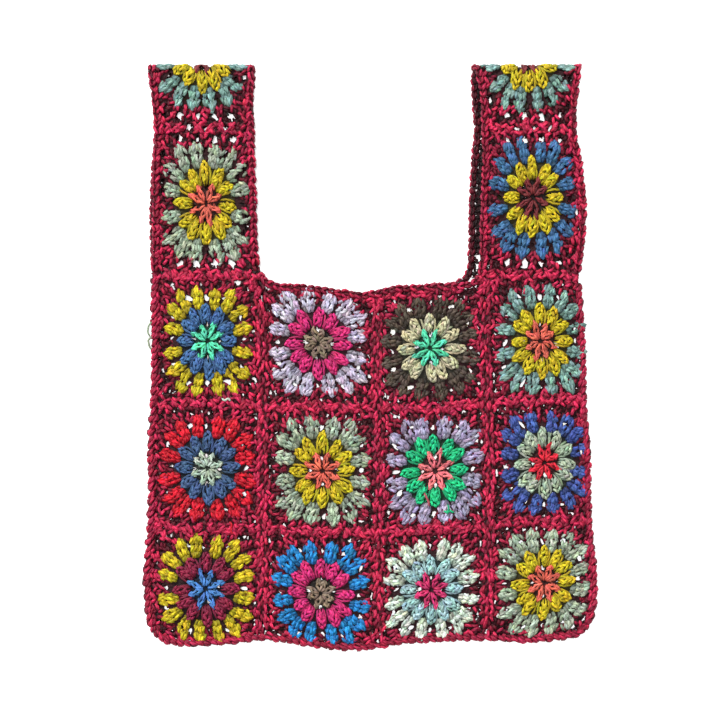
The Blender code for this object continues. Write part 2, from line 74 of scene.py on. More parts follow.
# Row lines of the body from left to right: place, then where each line is
ROW_LINES = np.array((
    # x, bottom, row 3 to 2, row 2 to 1, top of the squares
    (-204.0, -246.0, -150.8, -41.0, 74.1),
    (-196.0, -252.5, -151.4, -41.0, 74.1),
    (-185.0, -257.5, -152.3, -41.2, 74.1),
    (-167.0, -260.5, -153.3, -41.4, 74.1),
    (-131.0, -258.8, -154.1, -42.0, 74.1),
    (-103.0, -254.6, -155.0, -42.6, 74.1),
    (-96.0, -254.3, -155.3, -42.8, 60.5),
    (-77.0, -256.5, -156.2, -43.6, 59.3),
    (-50.0, -260.8, -157.1, -44.6, 57.4),
    (-23.0, -264.2, -157.1, -45.2, 52.8),
    (-5.0, -263.4, -157.1, -45.5, 51.4),
    (8.0, -262.0, -156.9, -45.5, 53.0),
    (26.0, -258.2, -156.1, -45.5, 56.8),
    (57.0, -256.2, -155.3, -45.5, 60.2),
    (103.0, -254.3, -151.9, -42.0, 60.8),
    (107.0, -254.5, -151.6, -41.7, 74.1),
    (139.0, -257.4, -147.8, -38.6, 74.1),
    (170.0, -254.6, -146.9, -38.0, 74.1),
    (190.0, -252.0, -146.5, -37.6, 74.1),
    (205.0, -240.0, -146.3, -37.4, 74.1),
))

# Each yarn as it shows on the lit side of a strand, in red, green and blue from 0 to 255
YARNS = {
    "crimson": (206, 42, 82), "coral": (222, 102, 84), "yellow": (212, 190, 34),
    "sage": (172, 188, 164), "maroon": (118, 44, 48), "steel": (70, 116, 162),
    "mint": (88, 214, 168), "navy": (72, 112, 164), "khaki": (142, 122, 104),
    "magenta": (222, 50, 122), "lilac": (207, 196, 218), "beige": (205, 200, 162),
    "charcoal": (86, 74, 64), "teal": (134, 172, 164), "pale_sage": (180, 200, 180),
    "ink": (72, 100, 144), "red": (222, 28, 50), "pink": (238, 120, 126),
    "emerald": (36, 200, 134), "lavender": (177, 166, 196), "scarlet": (217, 40, 60),
    "royal": (72, 94, 166), "blue": (75, 132, 199), "azure": (42, 142, 213),
    "rose": (205, 52, 105), "sky": (169, 209, 210), "ivory": (221, 235, 216),
    "wine": (145, 36, 68),
}
# Each front square: middle and half size of its coloured rounds, and the yarns of the rounds
FRONT_SQUARES = {
    # name: (x, y, half width, half height, width of its clusters, star, petals, clusters)
    "top_1": (-146.3, 14.9, 39.5, 49.5, 11.4, "mint", "navy", "yellow"),
    "top_2": (-46.4, 12.6, 44.0, 47.5, 14.0, "khaki", "magenta", "lilac"),
    "top_3": (54.0, 8.0, 43.5, 46.5, 13.4, "mint", "beige", "charcoal"),
    "top_4": (153.9, 14.9, 40.5, 49.5, 11.6, "coral", "yellow", "teal"),
    "middle_1": (-146.0, -99.5, 42.5, 47.0, 13.0, "pale_sage", "ink", "red"),
    "middle_2": (-42.6, -102.2, 43.5, 49.0, 14.0, "coral", "yellow", "sage"),
    "middle_3": (58.6, -102.2, 44.0, 49.0, 14.0, "pink", "emerald", "lavender"),
    "middle_4": (157.0, -95.0, 40.5, 46.0, 12.2, "scarlet", "sage", "royal"),
    "bottom_1": (-148.0, -208.4, 44.0, 48.0, 11.6, "blue", "wine", "yellow"),
    "bottom_2": (-44.1, -212.5, 43.5, 46.5, 12.6, "khaki", "magenta", "azure"),
    "bottom_3": (55.0, -209.0, 42.0, 45.0, 11.6, "rose", "sky", "ivory"),
    "bottom_4": (156.5, -203.0, 42.0, 48.0, 13.4, "coral", "yellow", "sage"),
}


def read(table, column, at):
    """A table's column at the given places, straight between its rows."""
    return np.interp(at, table[:, 0], table[:, column])


def ease(t):
    t = np.clip(t, 0, 1)
    return t * t * (3 - 2 * t)


def front_middle(x, y):
    """Height of the middle of the front, which lies close to the back along the closed edges."""
    level = np.minimum(y, MOUTH_Y)
    left = np.hypot(x - read(COLUMN_LINES, 1, level), y - level)
    right = np.hypot(read(COLUMN_LINES, 5, level) - x, y - level)
    near = np.minimum(np.minimum(left, right), y - read(ROW_LINES, 1, x))
    apart = CLOSED_HOLLOW + (HOLLOW - CLOSED_HOLLOW) * ease(near / CLOSING_WIDTH)
    return FABRIC + apart + FABRIC / 2


def body_place(row, column):
    """Where a body square's own places, from -1 to 1 both ways, lie on the bag."""
    by_seam, top = SEAM_WIDTH / 2 + PIECE_GAP, PIECE_GAP / 2
    left = SIDE_SEAM_LEFT + SEAM_CLEARANCE if column == 0 else by_seam
    right = SIDE_SEAM_RIGHT + SEAM_CLEARANCE if column == COLUMNS - 1 else by_seam
    bottom = BOTTOM_SEAM + SEAM_CLEARANCE if row == 2 else top

    def place(u, v):
        x = SQUARE_PITCH * (column - 1.5 + u / 2)
        y = SQUARE_PITCH * (v / 2 - row)
        for _ in range(PLACING_ROUNDS):
            low = read(COLUMN_LINES, column + 1, y) + left
            high = read(COLUMN_LINES, column + 2, y) - right
            x = low + (high - low) * (u + 1) / 2
            low = read(ROW_LINES, 3 - row, x) + bottom
            high = read(ROW_LINES, 4 - row, x) - top
            y = low + (high - low) * (v + 1) / 2
        return x, y

    return place


def half_size(place):
    """Half the width and half the height of a square, in millimetres."""
    left, right = place(-1.0, 0.0), place(1.0, 0.0)
    low, high = place(0.0, -1.0), place(0.0, 1.0)
    return (right[0] - left[0]) / 2, (high[1] - low[1]) / 2


def middle_of_rounds(at, place):
    """How far the rounds' middle lies from the square's own, in millimetres."""
    own = place(0.0, 0.0)
    return at[0] - own[0], at[1] - own[1]


def on_layer(layer, x, y, raised=0.0):
    """Points on the bag's front or back, and the way out of the bag there."""
    front = layer == "front"
    z = front_middle(x, y) + raised if front else np.full_like(x, BACK_MIDDLE + BACK_SUNK)
    out = np.zeros((*np.shape(x), 3))
    out[..., 2] = 1.0 if front else -BACK_FLAT
    return np.stack([x, y, z], -1), out


def flat_on(layer, place, half):
    """Lays a square's flat millimetres on one layer."""
    return lambda x, y: on_layer(layer, *place(x / half[0], y / half[1]))


def linear(yarn):
    """A yarn's colour as light, from its value as it shows."""
    shown = np.array(YARNS[yarn]) / 255
    return np.where(shown <= 0.04045, shown / 12.92, ((shown + 0.055) / 1.055) ** 2.4)


class Value:
    """A number in a material that changes over the surface, for sums and products."""

    def __init__(self, finish, socket):
        self.finish, self.socket = finish, socket

    def worked(self, operation, *others):
        inputs = dict(enumerate((self, *others)))
        return self.finish.node("ShaderNodeMath", {"operation": operation}, inputs)

    def __add__(self, other):
        return self.worked("ADD", other)

    def __rsub__(self, other):
        return self.worked("MULTIPLY_ADD", -1.0, other)

    def __mul__(self, other):
        return self.worked("MULTIPLY", other)

    __radd__, __rmul__ = __add__, __mul__

    def sine(self):
        return self.worked("SINE")


class Finish:
    """A material made of nodes round one Principled shader."""

    def __init__(self, name):
        self.material = bpy.data.materials.new(name)
        self.material.use_nodes = True
        self.tree = self.material.node_tree
        self.shader = self.tree.nodes["Principled BSDF"]

    def node(self, kind, settings=None, inputs=None, output=0):
        made = self.tree.nodes.new(kind)
        for key, value in (settings or {}).items():
            setattr(made, key, value)
        for key, value in (inputs or {}).items():
            self.feed(made.inputs[key], value)
        return Value(self, made.outputs[output])

    def feed(self, socket, value):
        if isinstance(value, Value):
            self.tree.links.new(value.socket, socket)
        else:
            socket.default_value = value

    def shade(self, **inputs):
        for key, value in inputs.items():
            self.feed(self.shader.inputs[key.replace("_", " ")], value)

    def yarn_colour(self, shade):
        """The colour stored on each strand: its yarn's colour with painted shade, made lighter and darker
        by the shade.
        """
        yarn = self.node("ShaderNodeAttribute", {"attribute_name": "yarn"})
        grey = self.node("ShaderNodeCombineXYZ", inputs={0: shade, 1: shade, 2: shade})
        return self.node("ShaderNodeVectorMath", {"operation": "MULTIPLY"}, {0: yarn, 1: grey})


# How many plies a strand has, and how dark the painted shade between them is
PLIES, PLY_PAINTED_SHADE = 3, 0.42
FIBRE_SCALE, FIBRE_SHADE = 2600.0, 0.2


def cotton_finish():
    """Matte plied cotton: each strand's colour with its painted shade, painted darker between its plies
    as shade, with fine fibres.
    """
    finish = Finish("plied_cotton")
    turn = finish.node("ShaderNodeUVMap", {"uv_map": "ply"})
    along = finish.node("ShaderNodeSeparateXYZ", inputs={0: turn})
    around = Value(finish, along.socket.node.outputs[1])
    twist = ((along + around * PLIES) * (2 * math.pi)).sine()
    place = finish.node("ShaderNodeTexCoord", output=3)
    fibres = finish.node(
        "ShaderNodeTexNoise", inputs={"Vector": place, "Scale": FIBRE_SCALE, "Detail": 2.0}
    )
    # Painted shade in the grooves between the plies, and the fibres' uneven tone
    shade = (1 - PLY_PAINTED_SHADE / 2 - FIBRE_SHADE / 2) + twist * (PLY_PAINTED_SHADE / 2) + fibres * FIBRE_SHADE
    relief = twist * 0.5 + fibres * 0.5
    bump = finish.node(
        "ShaderNodeBump", inputs={"Height": relief, "Distance": 0.0003, "Strength": 0.8}
    )
    finish.shade(
        Base_Color=finish.yarn_colour(shade), Normal=bump, Roughness=0.6, Specular_IOR_Level=0.3
    )
    return finish.material


cotton = cotton_finish()


def unit(vectors):
    return vectors / np.maximum(np.linalg.norm(vectors, axis=-1, keepdims=True), 1e-9)


def length_along(points):
    """How far along its line each point lies."""
    steps = np.linalg.norm(np.diff(points, axis=-2), axis=-1)
    return np.insert(np.cumsum(steps, axis=-1), 0, 0.0, axis=-1)


# Radius of the yarn, of the thicker crimson and how uneven they are
STRAND, THICK, YARN_UNEVEN = 1.7, 1.8, 0.05
# Painted shade: how dark a strand is painted by the height that it rises to, the low ones dark as though
# in the shadow of those over them
RISE_HEIGHTS, RISE_PAINTED_SHADES = (-0.6, 0.2, 1.6), (0.05, 0.3, 1.34)
# Where along an arc its points are and how high each is, in full and in plain
ARC_PLACES = np.array((0.0, 0.2, 0.5, 0.8, 1.0))
ARC_RISE = np.array((0.0, 0.82, 1.0, 0.82, 0.0))
PLAIN_PLACES = np.array((0.0, 0.25, 0.75, 1.0))
PLAIN_RISE = np.array((0.0, 1.0, 1.0, 0.0))
ARC_LOOSE, ARC_HEIGHT_LOOSE = 0.4, 0.15
CLEAR_AT = np.array((0.2, 0.5, 0.8)).reshape(3, 1, 1)
FAR_OFF = (1e6, 1e6, 0.0)


class Strands:
    """The strands of one piece: middle lines in flat millimetres, thickness, yarn and shade."""

    def __init__(self, seed, plain=False, holes=()):
        self.lines, self.holes = [], np.array([FAR_OFF, *holes])
        self.places, self.rise = (PLAIN_PLACES, PLAIN_RISE) if plain else (ARC_PLACES, ARC_RISE)
        self.random = np.random.default_rng(seed)

    def near(self, value, spread):
        """The value, a little off as hand work is."""
        return value + self.random.normal(0, spread, np.shape(value))

    def add(self, across, along, out, yarn, radius=STRAND, shade=1.0):
        line = np.stack(np.broadcast_arrays(across, along, out), -1).astype(float)
        self.lines.append((line, radius * self.near(1.0, YARN_UNEVEN), linear(yarn) * shade))

    def arc(self, start, end, low, high, yarn, bow=0.0, shade=1.0, radius=STRAND):
        """A short length of yarn that comes up, lies over the others and dives again."""
        start = self.near(np.asarray(start, float), ARC_LOOSE)
        run = self.near(np.asarray(end, float), ARC_LOOSE) - start
        away = start + run * CLEAR_AT - self.holes[:, :2]
        if np.any(np.hypot(away[..., 0], away[..., 1]) < self.holes[:, 2]):
            return
        aside = bow * self.rise / max(float(np.hypot(*run)), 1e-6)
        out = low + (self.near(high, ARC_HEIGHT_LOOSE) - low) * self.rise
        # Painted shade: the lower the strand's middle, the darker its colour
        self.add(
            start[0] + run[0] * self.places - run[1] * aside,
            start[1] + run[1] * self.places + run[0] * aside, out, yarn, radius,
            shade * np.interp(high, RISE_HEIGHTS, RISE_PAINTED_SHADES),
        )

    def stitch(self, at, turn, low, high):
        """A thick crimson stitch, turned about its middle."""
        step = STITCH_LONG / 2 * np.array((math.cos(turn), math.sin(turn)))
        self.arc(at - step, at + step, low, high, "crimson", radius=THICK)


# Painted shade on every strand: its top corners lit, its under side dark, its end rings darker and its
# tips darkest, where it dives under the others
SIDES_ROUND, AROUND_PAINTED_SHADE = 4, np.array((1.06, 1.06, 0.3, 0.3))
END_TAPER, END_PAINTED_SHADE, TIP_PAINTED_SHADE = 0.9, 0.85, 0.2
# From strand to strand: the spread of its shade and of each colour, and their limits
TINT_SPREAD, TINT_LIMITS = 0.16, (0.6, 1.3)
HUE_SPREAD, HUE_LIMITS = 0.06, (0.8, 1.2)
LOWEST, PRESSED = 0.05, 0.6
PLY_LENGTH, BAKE_MARGIN = 5.5, 0.06


def tube_faces(points):
    """Corner numbers of one closed tube's faces, and each corner's place along and around."""
    k, s = np.meshgrid(np.arange(points - 1), np.arange(SIDES_ROUND), indexing="ij")
    k, s = k.ravel(), s.ravel()

    def ring(k, s):
        return k * SIDES_ROUND + s % SIDES_ROUND

    quads = np.stack([ring(k, s), ring(k + 1, s), ring(k + 1, s + 1), ring(k, s + 1)], 1)
    quad_places = np.stack([
        np.stack([k, k + 1, k + 1, k], 1), np.stack([s, s, s + 1, s + 1], 1),
    ], -1)
    s = np.arange(SIDES_ROUND)
    first = points * SIDES_ROUND + 0 * s
    low, high = 0 * s, points - 1 + 0 * s
    ends = np.concatenate([
        np.stack([first, ring(0, s), ring(0, s + 1)], 1),
        np.stack([first + 1, ring(high, s + 1), ring(high, s)], 1),
    ])
    end_places = np.concatenate([
        np.stack([np.stack([low] * 3, 1), np.stack([s, s, s + 1], 1)], -1),
        np.stack([np.stack([high] * 3, 1), np.stack([s, s + 1, s], 1)], -1),
    ])
    return (quads, quad_places), (ends, end_places)


def placed(name, data):
    """Puts a new object into the scene."""
    made = bpy.data.objects.new(name, data)
    bpy.context.scene.collection.objects.link(made)
    return made


def knit(name, strands, surface):
    """One mesh of all the strands, each a closed tube along its line on the surface."""
    groups = {}
    for line, radius, tint in strands.lines:
        groups.setdefault(len(line), []).append((line, radius, tint))
    verts, colours, corners, sizes, plies, cells = [], [], [], [], [], []
    made = done = 0
    columns = math.ceil(math.sqrt(len(strands.lines) / 2))
    rows = math.ceil(len(strands.lines) / columns)
    angle = 2 * math.pi * (np.arange(SIDES_ROUND) + 0.5) / SIDES_ROUND
    for points, group in sorted(groups.items()):
        lines = np.array([line for line, _, _ in group])
        radii = np.array([radius for _, radius, _ in group])
        base, out = surface(lines[..., 0], lines[..., 1])
        middle = base + out * lines[..., 2:]
        along = unit(np.gradient(middle, axis=1))
        side = unit(np.cross(along, out))
        up = np.cross(side, along)
        points -= 2
        taper, tone_and_painted_shade = np.ones(points), np.ones(points)
        taper[[0, -1]], tone_and_painted_shade[[0, -1]] = END_TAPER, END_PAINTED_SHADE
        spokes = side[:, :, None] * np.cos(angle)[:, None] + up[:, :, None] * np.sin(angle)[:, None]
        thick = radii[:, None] * taper
        tips, middle = middle[:, [0, -1]], middle[:, 1:-1]
        rings = middle[:, :, None] + spokes[:, 1:-1] * thick[:, :, None, None]
        count, per = len(group), points * SIDES_ROUND + 2
        verts.append(np.concatenate([rings.reshape(count, -1, 3), tips], 1).reshape(-1, 3))
        # Painted shade on the under side, the end rings and the tips of each strand
        shades = np.concatenate([np.outer(tone_and_painted_shade, AROUND_PAINTED_SHADE).ravel(), [TIP_PAINTED_SHADE] * 2])
        tint = np.array([tint for _, _, tint in group])
        tint = tint * strands.random.normal(1, TINT_SPREAD, (count, 1)).clip(*TINT_LIMITS)
        tint = tint * strands.random.normal(1, HUE_SPREAD, (count, 3)).clip(*HUE_LIMITS)
        colours.append((tint[:, None] * shades[:, None]).reshape(-1, 3))
        length = length_along(middle) / PLY_LENGTH + strands.random.random((count, 1))
        cell = done + np.arange(count)
        corner = np.stack([cell % columns, cell // columns], 1)
        for faces, places in tube_faces(points):
            numbers = made + np.arange(count)[:, None, None] * per + faces
            corners.append(numbers.reshape(-1))
            sizes.append(np.full(count * len(faces), faces.shape[1]))
            k, s = places[..., 0], places[..., 1]
            turned_by = np.broadcast_to(s / SIDES_ROUND, (count, *s.shape))
            plies.append(np.stack([length[:, k], turned_by], -1).reshape(-1, 2))
            inside = np.stack([k / (points - 1), s / SIDES_ROUND], -1)
            inside = BAKE_MARGIN + (1 - 2 * BAKE_MARGIN) * inside
            spot = (corner[:, None, None] + inside) / np.array([columns, rows])
            cells.append(spot.reshape(-1, 2))
        made += count * per
        done += count
    mesh = bpy.data.meshes.new(name)
    verts, colours = np.concatenate(verts), np.concatenate(colours)
    low = verts[:, 2] < PRESSED
    verts[low, 2] = np.maximum(PRESSED * np.exp(verts[low, 2] / PRESSED - 1), LOWEST)
    verts = verts * MM
    corners, sizes = np.concatenate(corners), np.concatenate(sizes)
    mesh.vertices.add(len(verts))
    mesh.vertices.foreach_set("co", verts.ravel())
    mesh.loops.add(len(corners))
    mesh.loops.foreach_set("vertex_index", corners)
    mesh.polygons.add(len(sizes))
    mesh.polygons.foreach_set("loop_start", np.concatenate([[0], np.cumsum(sizes)[:-1]]))
    for uv_name, values in (("OFBake", cells), ("ply", plies)):
        layer = mesh.uv_layers.new(name=uv_name)
        layer.data.foreach_set("uv", np.concatenate(values).ravel())
    # The colour attribute holds each strand's yarn colour with its painted shade
    shade = mesh.attributes.new("yarn", "FLOAT_COLOR", "POINT")
    shade.data.foreach_set("color", np.hstack([colours, np.ones((len(colours), 1))]).ravel())
    mesh.update()
    mesh.shade_smooth()
    mesh.materials.append(cotton)
    piece = placed(name, mesh)
    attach(piece, "root")
    return piece


# One double crochet: the arcs of yarn that show, from its foot up to its top loop
POST_ARCS = (
    # from: along, aside; to: along, aside; height of the ends and of the middle
    (0.02, -0.9, 0.38, 1.2, -0.9, 0.9),
    (0.26, 1.9, 0.62, -1.3, -0.5, 1.7),
    (0.64, -2.1, 0.99, -0.5, -0.3, 1.6),
    (0.98, 0.7, 0.62, 2.2, -0.3, 1.4),
    (0.04, 1.0, 0.36, -1.3, -0.9, 0.8),
    (0.26, -1.9, 0.60, 1.2, -0.5, 1.3),
    (0.48, -1.8, 0.82, 0.9, -0.5, 1.1),
    (0.86, -1.6, 1.02, 1.4, -0.5, 1.0),
)
# One taller double crochet of a star, in the same measures
SPOKE_ARCS = (
    (0.02, -0.2, 0.62, 1.3, -0.6, 1.5),
    (0.34, 1.5, 0.98, -0.7, -0.4, 1.7),
    (0.62, -1.5, 1.06, 0.5, -0.4, 1.5),
    (0.06, 0.5, 0.66, -1.2, -0.6, 1.2),
    (0.40, -1.5, 1.00, 0.9, -0.4, 1.2),
    (0.70, 1.4, 1.08, -0.2, -0.4, 1.2),
)
POST_WIDTH, POSTS_DRAWN, CLUSTER_YARN = 4.4, 0.87, 1.82
# How uneven a post's place, height and shade are
POST_ASIDE, POST_TALL, POST_WORN = 0.1, 0.03, 0.1
# How much shorter outer posts are, how slim a post is at its foot, and how much lower they lie
OUTER_SHORTER, FOOT_SLIM, OUTER_DROP = 0.1, 0.4, 0.4
# How wide a cluster is from its foot to its top
CLUSTER_GIRTH = ((0, 0.3, 0.62, 0.88, 1), (0.5, 0.88, 1.0, 0.94, 0.76))


def course(foot, tip):
    """A stitch's length, and the ways along and across it."""
    length = float(np.hypot(*(tip - foot)))
    along = (tip - foot) / length
    return length, along, np.array([-along[1], along[0]])


def cluster(strands, foot, tip, width, yarn, lift, posts=3, arcs=POST_ARCS, radius=CLUSTER_YARN):
    """Double crochets worked into one space, drawn together at the foot."""
    length, along, across = course(foot, tip)
    full = width / posts / POST_WIDTH
    for k in np.linspace(-1, 1, posts) if posts > 1 else (0.0,):
        k = k + strands.random.normal(0, POST_ASIDE)
        hand = strands.random.choice((-1, 1))
        tall = length * (1 - OUTER_SHORTER * k * k) * strands.near(1.0, POST_TALL)
        tone_and_painted_shade, drop = strands.near(1.0, POST_WORN), OUTER_DROP * abs(k)
        for s0, a0, s1, a1, low, high in arcs:
            ends = []
            for s, a in ((s0, a0), (s1, a1)):
                share = float(np.interp(s, *CLUSTER_GIRTH))
                fan = k * share * width * (1 - 1 / posts) / 2 * POSTS_DRAWN
                slim = full * (FOOT_SLIM + (1 - FOOT_SLIM) * share)
                ends.append(foot + along * (s * tall) + across * (fan + hand * a * slim))
            low, high = lift + low - drop, lift + high - drop
            strands.arc(*ends, low, high, yarn, shade=tone_and_painted_shade, radius=radius)


PETAL_STRANDS = (-0.86, -0.3, 0.3, 0.86)
PETAL_GIRTH = ((0, 0.2, 0.45, 0.7, 0.85, 1), (0.34, 0.8, 1.0, 1.0, 0.88, 0.66))
PETAL_LONG, PETAL_HEM, PETAL_FOOT_DROP, PETAL_RISE = 0.96, 0.9, 0.5, 2.3
PETAL_YARN, PETAL_SHADE, OUTER_PAINTED_DARKER, OUTER_LOWER = 1.35, 0.9, 0.15, 0.42
# How skew a petal's loop is, and how uneven its place and length are
LOOP_SKEW, LOOP_ASIDE, LOOP_LONG = 0.3, 0.08, 0.04
# The loops drawn over a petal, as along and aside places with the heights of ends and middle
PETAL_ARCS = (
    (0.72, -3.2, 1.00, -1.3, 0.1, 1.7), (0.99, 1.3, 0.74, 3.4, 0.1, 1.5),
    (0.86, -2.0, 1.04, 1.8, 0.0, 1.4), (0.58, -2.6, 0.86, 1.6, 0.4, 2.4),
    (0.26, -2.4, 0.60, 1.6, 0.6, 2.3), (0.52, 2.9, 0.80, 0.6, 0.3, 2.1),
    (0.18, 1.9, 0.50, -0.8, 0.4, 1.9), (0.42, -3.4, 0.70, -1.6, 0.1, 1.6),
    (0.40, 3.4, 0.68, 1.9, 0.1, 1.5),
)


def petal(strands, foot, tip, width, yarn, lift):
    """A puffed stitch: long loops drawn together at its foot, with a knot at its tip."""
    length, along, across = course(foot, tip)
    t = np.linspace(0, PETAL_LONG, len(strands.places) + 1)
    girth = np.interp(t, *PETAL_GIRTH)
    for k in PETAL_STRANDS:
        skew = strands.random.normal(0, LOOP_SKEW) * (t - 0.4)
        aside = (k + strands.random.normal(0, LOOP_ASIDE) + skew) * (width / 2 - PETAL_HEM) * girth
        puff = PETAL_RISE * np.sin(math.pi * t) ** 0.7 * (1 - OUTER_LOWER * k * k)
        at = t * length * strands.near(1.0, LOOP_LONG)
        x, y = (foot[i] + along[i] * at + across[i] * aside for i in (0, 1))
        # Painted shade: the outer loops, which lie lower, are darker
        shade = PETAL_SHADE - OUTER_PAINTED_DARKER * k * k
        strands.add(x, y, lift - PETAL_FOOT_DROP + puff, yarn, PETAL_YARN, shade)
    hand = strands.random.choice((-1, 1))
    for s0, a0, s1, a1, low, high in PETAL_ARCS:
        start = foot + along * (s0 * length) + across * (hand * a0)
        end = foot + along * (s1 * length) + across * (hand * a1)
        strands.arc(start, end, lift + low, lift + high, yarn, shade=PETAL_SHADE)


def turned(x, y, quarter):
    for _ in range(quarter):
        x, y = -y, x
    return x, y


SPOKES = 8
STAR_HOLE, OPEN_STAR = 0.02, (0.38, 7.7)
CLOSE_STARS = {"khaki": (0.3, 9.4), "pale_sage": (0.35, 8.6), "coral": (0.38, 8.6)}
STAR_YARN, STAR_RINGS, RING_STITCH = 1.45, (0.1, 0.18), 2 * math.pi / SPOKES * 0.6
PETAL_ANGLES = (0, 31, 59, 90, 121, 149, 180, 211, 239, 270, 301, 329)
PETAL_FOOT, PETAL_TIP, PETAL_WIDTH = 0.26, 0.68, 12.4
MIDDLE_CLUSTER = ((0.17, 0.55), (0.25, 1.0))
CORNER_CLUSTER = ((0.385, 0.49), (0.645, 0.935))
HAND = 0.5
# The crimson stitches of the last round: rows from the edge inwards, and stitches in a row
BORDER_ROWS, ROW_FIRST, ROW_STEP = 6, 1.6, 3.5
STITCH_PITCH, STITCH_LONG = 4.7, 7.2
ROUNDS_REACH = 0.9
STITCH_HEIGHTS, INNER_HEIGHTS = (1.7, 0.9, 0.3, -0.4), (1.2, 0.7, 0.0)
# The stitches between the clusters lie low, and their painted shade by height is made seven times lighter
BETWEEN_REACH, BETWEEN_HEIGHT, BETWEEN_PAINTED_LIGHTER = 0.78, -0.7, 7.0
UNDER_PITCH, UNDER_LONG, UNDER_HEIGHT = 5.2, 8.8, -0.7
BORDER_LEAN, EDGE_ROWS, OUTER_REACH = (0.25, 0.85), 2, 1.04
BORDER_REACH = 1.4


def far_out(u, v):
    """How far out a place in the rounds is: 1 on their rounded square edge."""
    return (abs(u) ** 4 + abs(v) ** 4) ** 0.25


class Rounds:
    """The rounds of one square: their half size, their middle, and the square's own edges."""

    def __init__(self, half, middle, outer, reach, ends=None):
        self.half, self.middle, self.outer = np.array(half), np.array(middle), np.array(outer)
        self.ends = ends
        self.edges = (
            outer[1] - middle[1] + reach[1], outer[0] + middle[0] + reach[0],
            outer[1] + middle[1] + reach[1], outer[0] - middle[0] + reach[0],
        )

    def spot(self, u, v, quarter=0):
        """A place in the rounds, from -1 to 1 both ways, in the square's millimetres."""
        return np.array(turned(u, v, quarter)) * self.half + self.middle

    def at_angle(self, reach, angle):
        """A place in the rounds by its reach, from 0 to 1, and its angle."""
        return self.spot(reach * math.cos(angle), reach * math.sin(angle))

    def stitch_ends(self, x, y, turn, long, quarter):
        """Both ends of a stitch about a place in millimetres from the middle, y to one side."""
        step = long / 2 * np.array((math.cos(turn), math.sin(turn)))
        return [np.array(turned(*((x, y) + k * step), quarter)) + self.middle for k in (-1, 1)]


def star(strands, rounds, yarn, lift):
    """The first round: eight double crochets from one ring, their tips between the petals."""
    reach, width = CLOSE_STARS.get(yarn, OPEN_STAR)
    for n in range(SPOKES):
        angle = 2 * math.pi * (n + 0.5) / SPOKES + strands.random.normal(0, 0.06)
        tip = rounds.at_angle(reach * strands.near(1.0, 0.06), angle)
        foot = rounds.at_angle(STAR_HOLE, angle)
        cluster(strands, foot, tip, width, yarn, lift, 1, SPOKE_ARCS, STAR_YARN)
        for ring in STAR_RINGS:
            ends = [rounds.at_angle(ring, angle + turn) for turn in (0, RING_STITCH)]
            strands.arc(*ends, lift - 0.8, lift + 0.3, yarn, radius=STAR_YARN)


def petals(strands, rounds, yarn, lift):
    """The second round: twelve puffed petals, those by the corners in pairs."""
    for degrees in PETAL_ANGLES:
        angle = math.radians(degrees) + strands.random.normal(0, 0.04)
        lean = math.radians(degrees + 0.35 * (45 - degrees % 90) * (degrees % 90 > 0))
        foot = rounds.at_angle(PETAL_FOOT, lean)
        tip = rounds.at_angle(PETAL_TIP * strands.near(1.0, 0.03), angle)
        petal(strands, foot, tip, PETAL_WIDTH * strands.near(1, 0.06), yarn, lift)


def clusters(strands, rounds, yarn, lift, width):
    """The third round: two clusters at each side, and a pair in each corner space."""
    for quarter in range(4):
        for mirror in (-1, 1):
            for low, high in (MIDDLE_CLUSTER, CORNER_CLUSTER):
                foot = strands.near(rounds.spot(mirror * low[0], low[1], quarter), HAND)
                tip = strands.near(rounds.spot(mirror * high[0], high[1], quarter), HAND * 1.8)
                cluster(strands, foot, tip, width * strands.near(1.0, 0.07), yarn, lift)


def border(strands, rounds, lift):
    """The last round, in crimson: short plump stitches, along the edge and outward within."""
    for quarter in range(4):
        long, wide = rounds.half[[1, 0]] if quarter % 2 == 0 else rounds.half
        edge = rounds.edges[quarter]
        after, before = rounds.edges[(quarter + 3) % 4], rounds.edges[(quarter + 1) % 4]
        for row in range(BORDER_ROWS):
            deep = ROW_FIRST + ROW_STEP * row
            start = -(before - deep) + STITCH_PITCH * (row % 2) / 2
            for x in np.arange(start, after - deep, UNDER_PITCH):
                turn, y = strands.random.uniform(0, math.pi), edge - deep - 1.0
                if far_out(x / wide, y / long) > ROUNDS_REACH - 0.02:
                    ends = rounds.stitch_ends(x, y, turn, UNDER_LONG, quarter)
                    strands.arc(*ends, lift - 1.4, lift + UNDER_HEIGHT, "crimson", radius=THICK)
            for n, x in enumerate(np.arange(start, after - deep, STITCH_PITCH)):
                x, y = strands.near(x, 0.8), strands.near(edge - deep, 0.6)
                reach = far_out(x / wide, y / long)
                if reach < BETWEEN_REACH:
                    continue
                lean = strands.random.uniform(*BORDER_LEAN) * (1 if (n + row) % 2 else -1)
                turn = lean if row < EDGE_ROWS else math.atan2(y / long, x / wide) + lean * 0.8
                ends = rounds.stitch_ends(x, y, turn, STITCH_LONG * strands.near(1.0, 0.12), quarter)
                high = strands.random.choice(INNER_HEIGHTS if reach < OUTER_REACH else STITCH_HEIGHTS)
                shade = 1.0
                if reach < ROUNDS_REACH:
                    high, shade = BETWEEN_HEIGHT, BETWEEN_PAINTED_LIGHTER
                bow = strands.random.normal(0, 0.7)
                strands.arc(*ends, lift - 0.9, lift + high, "crimson", bow, shade, THICK)


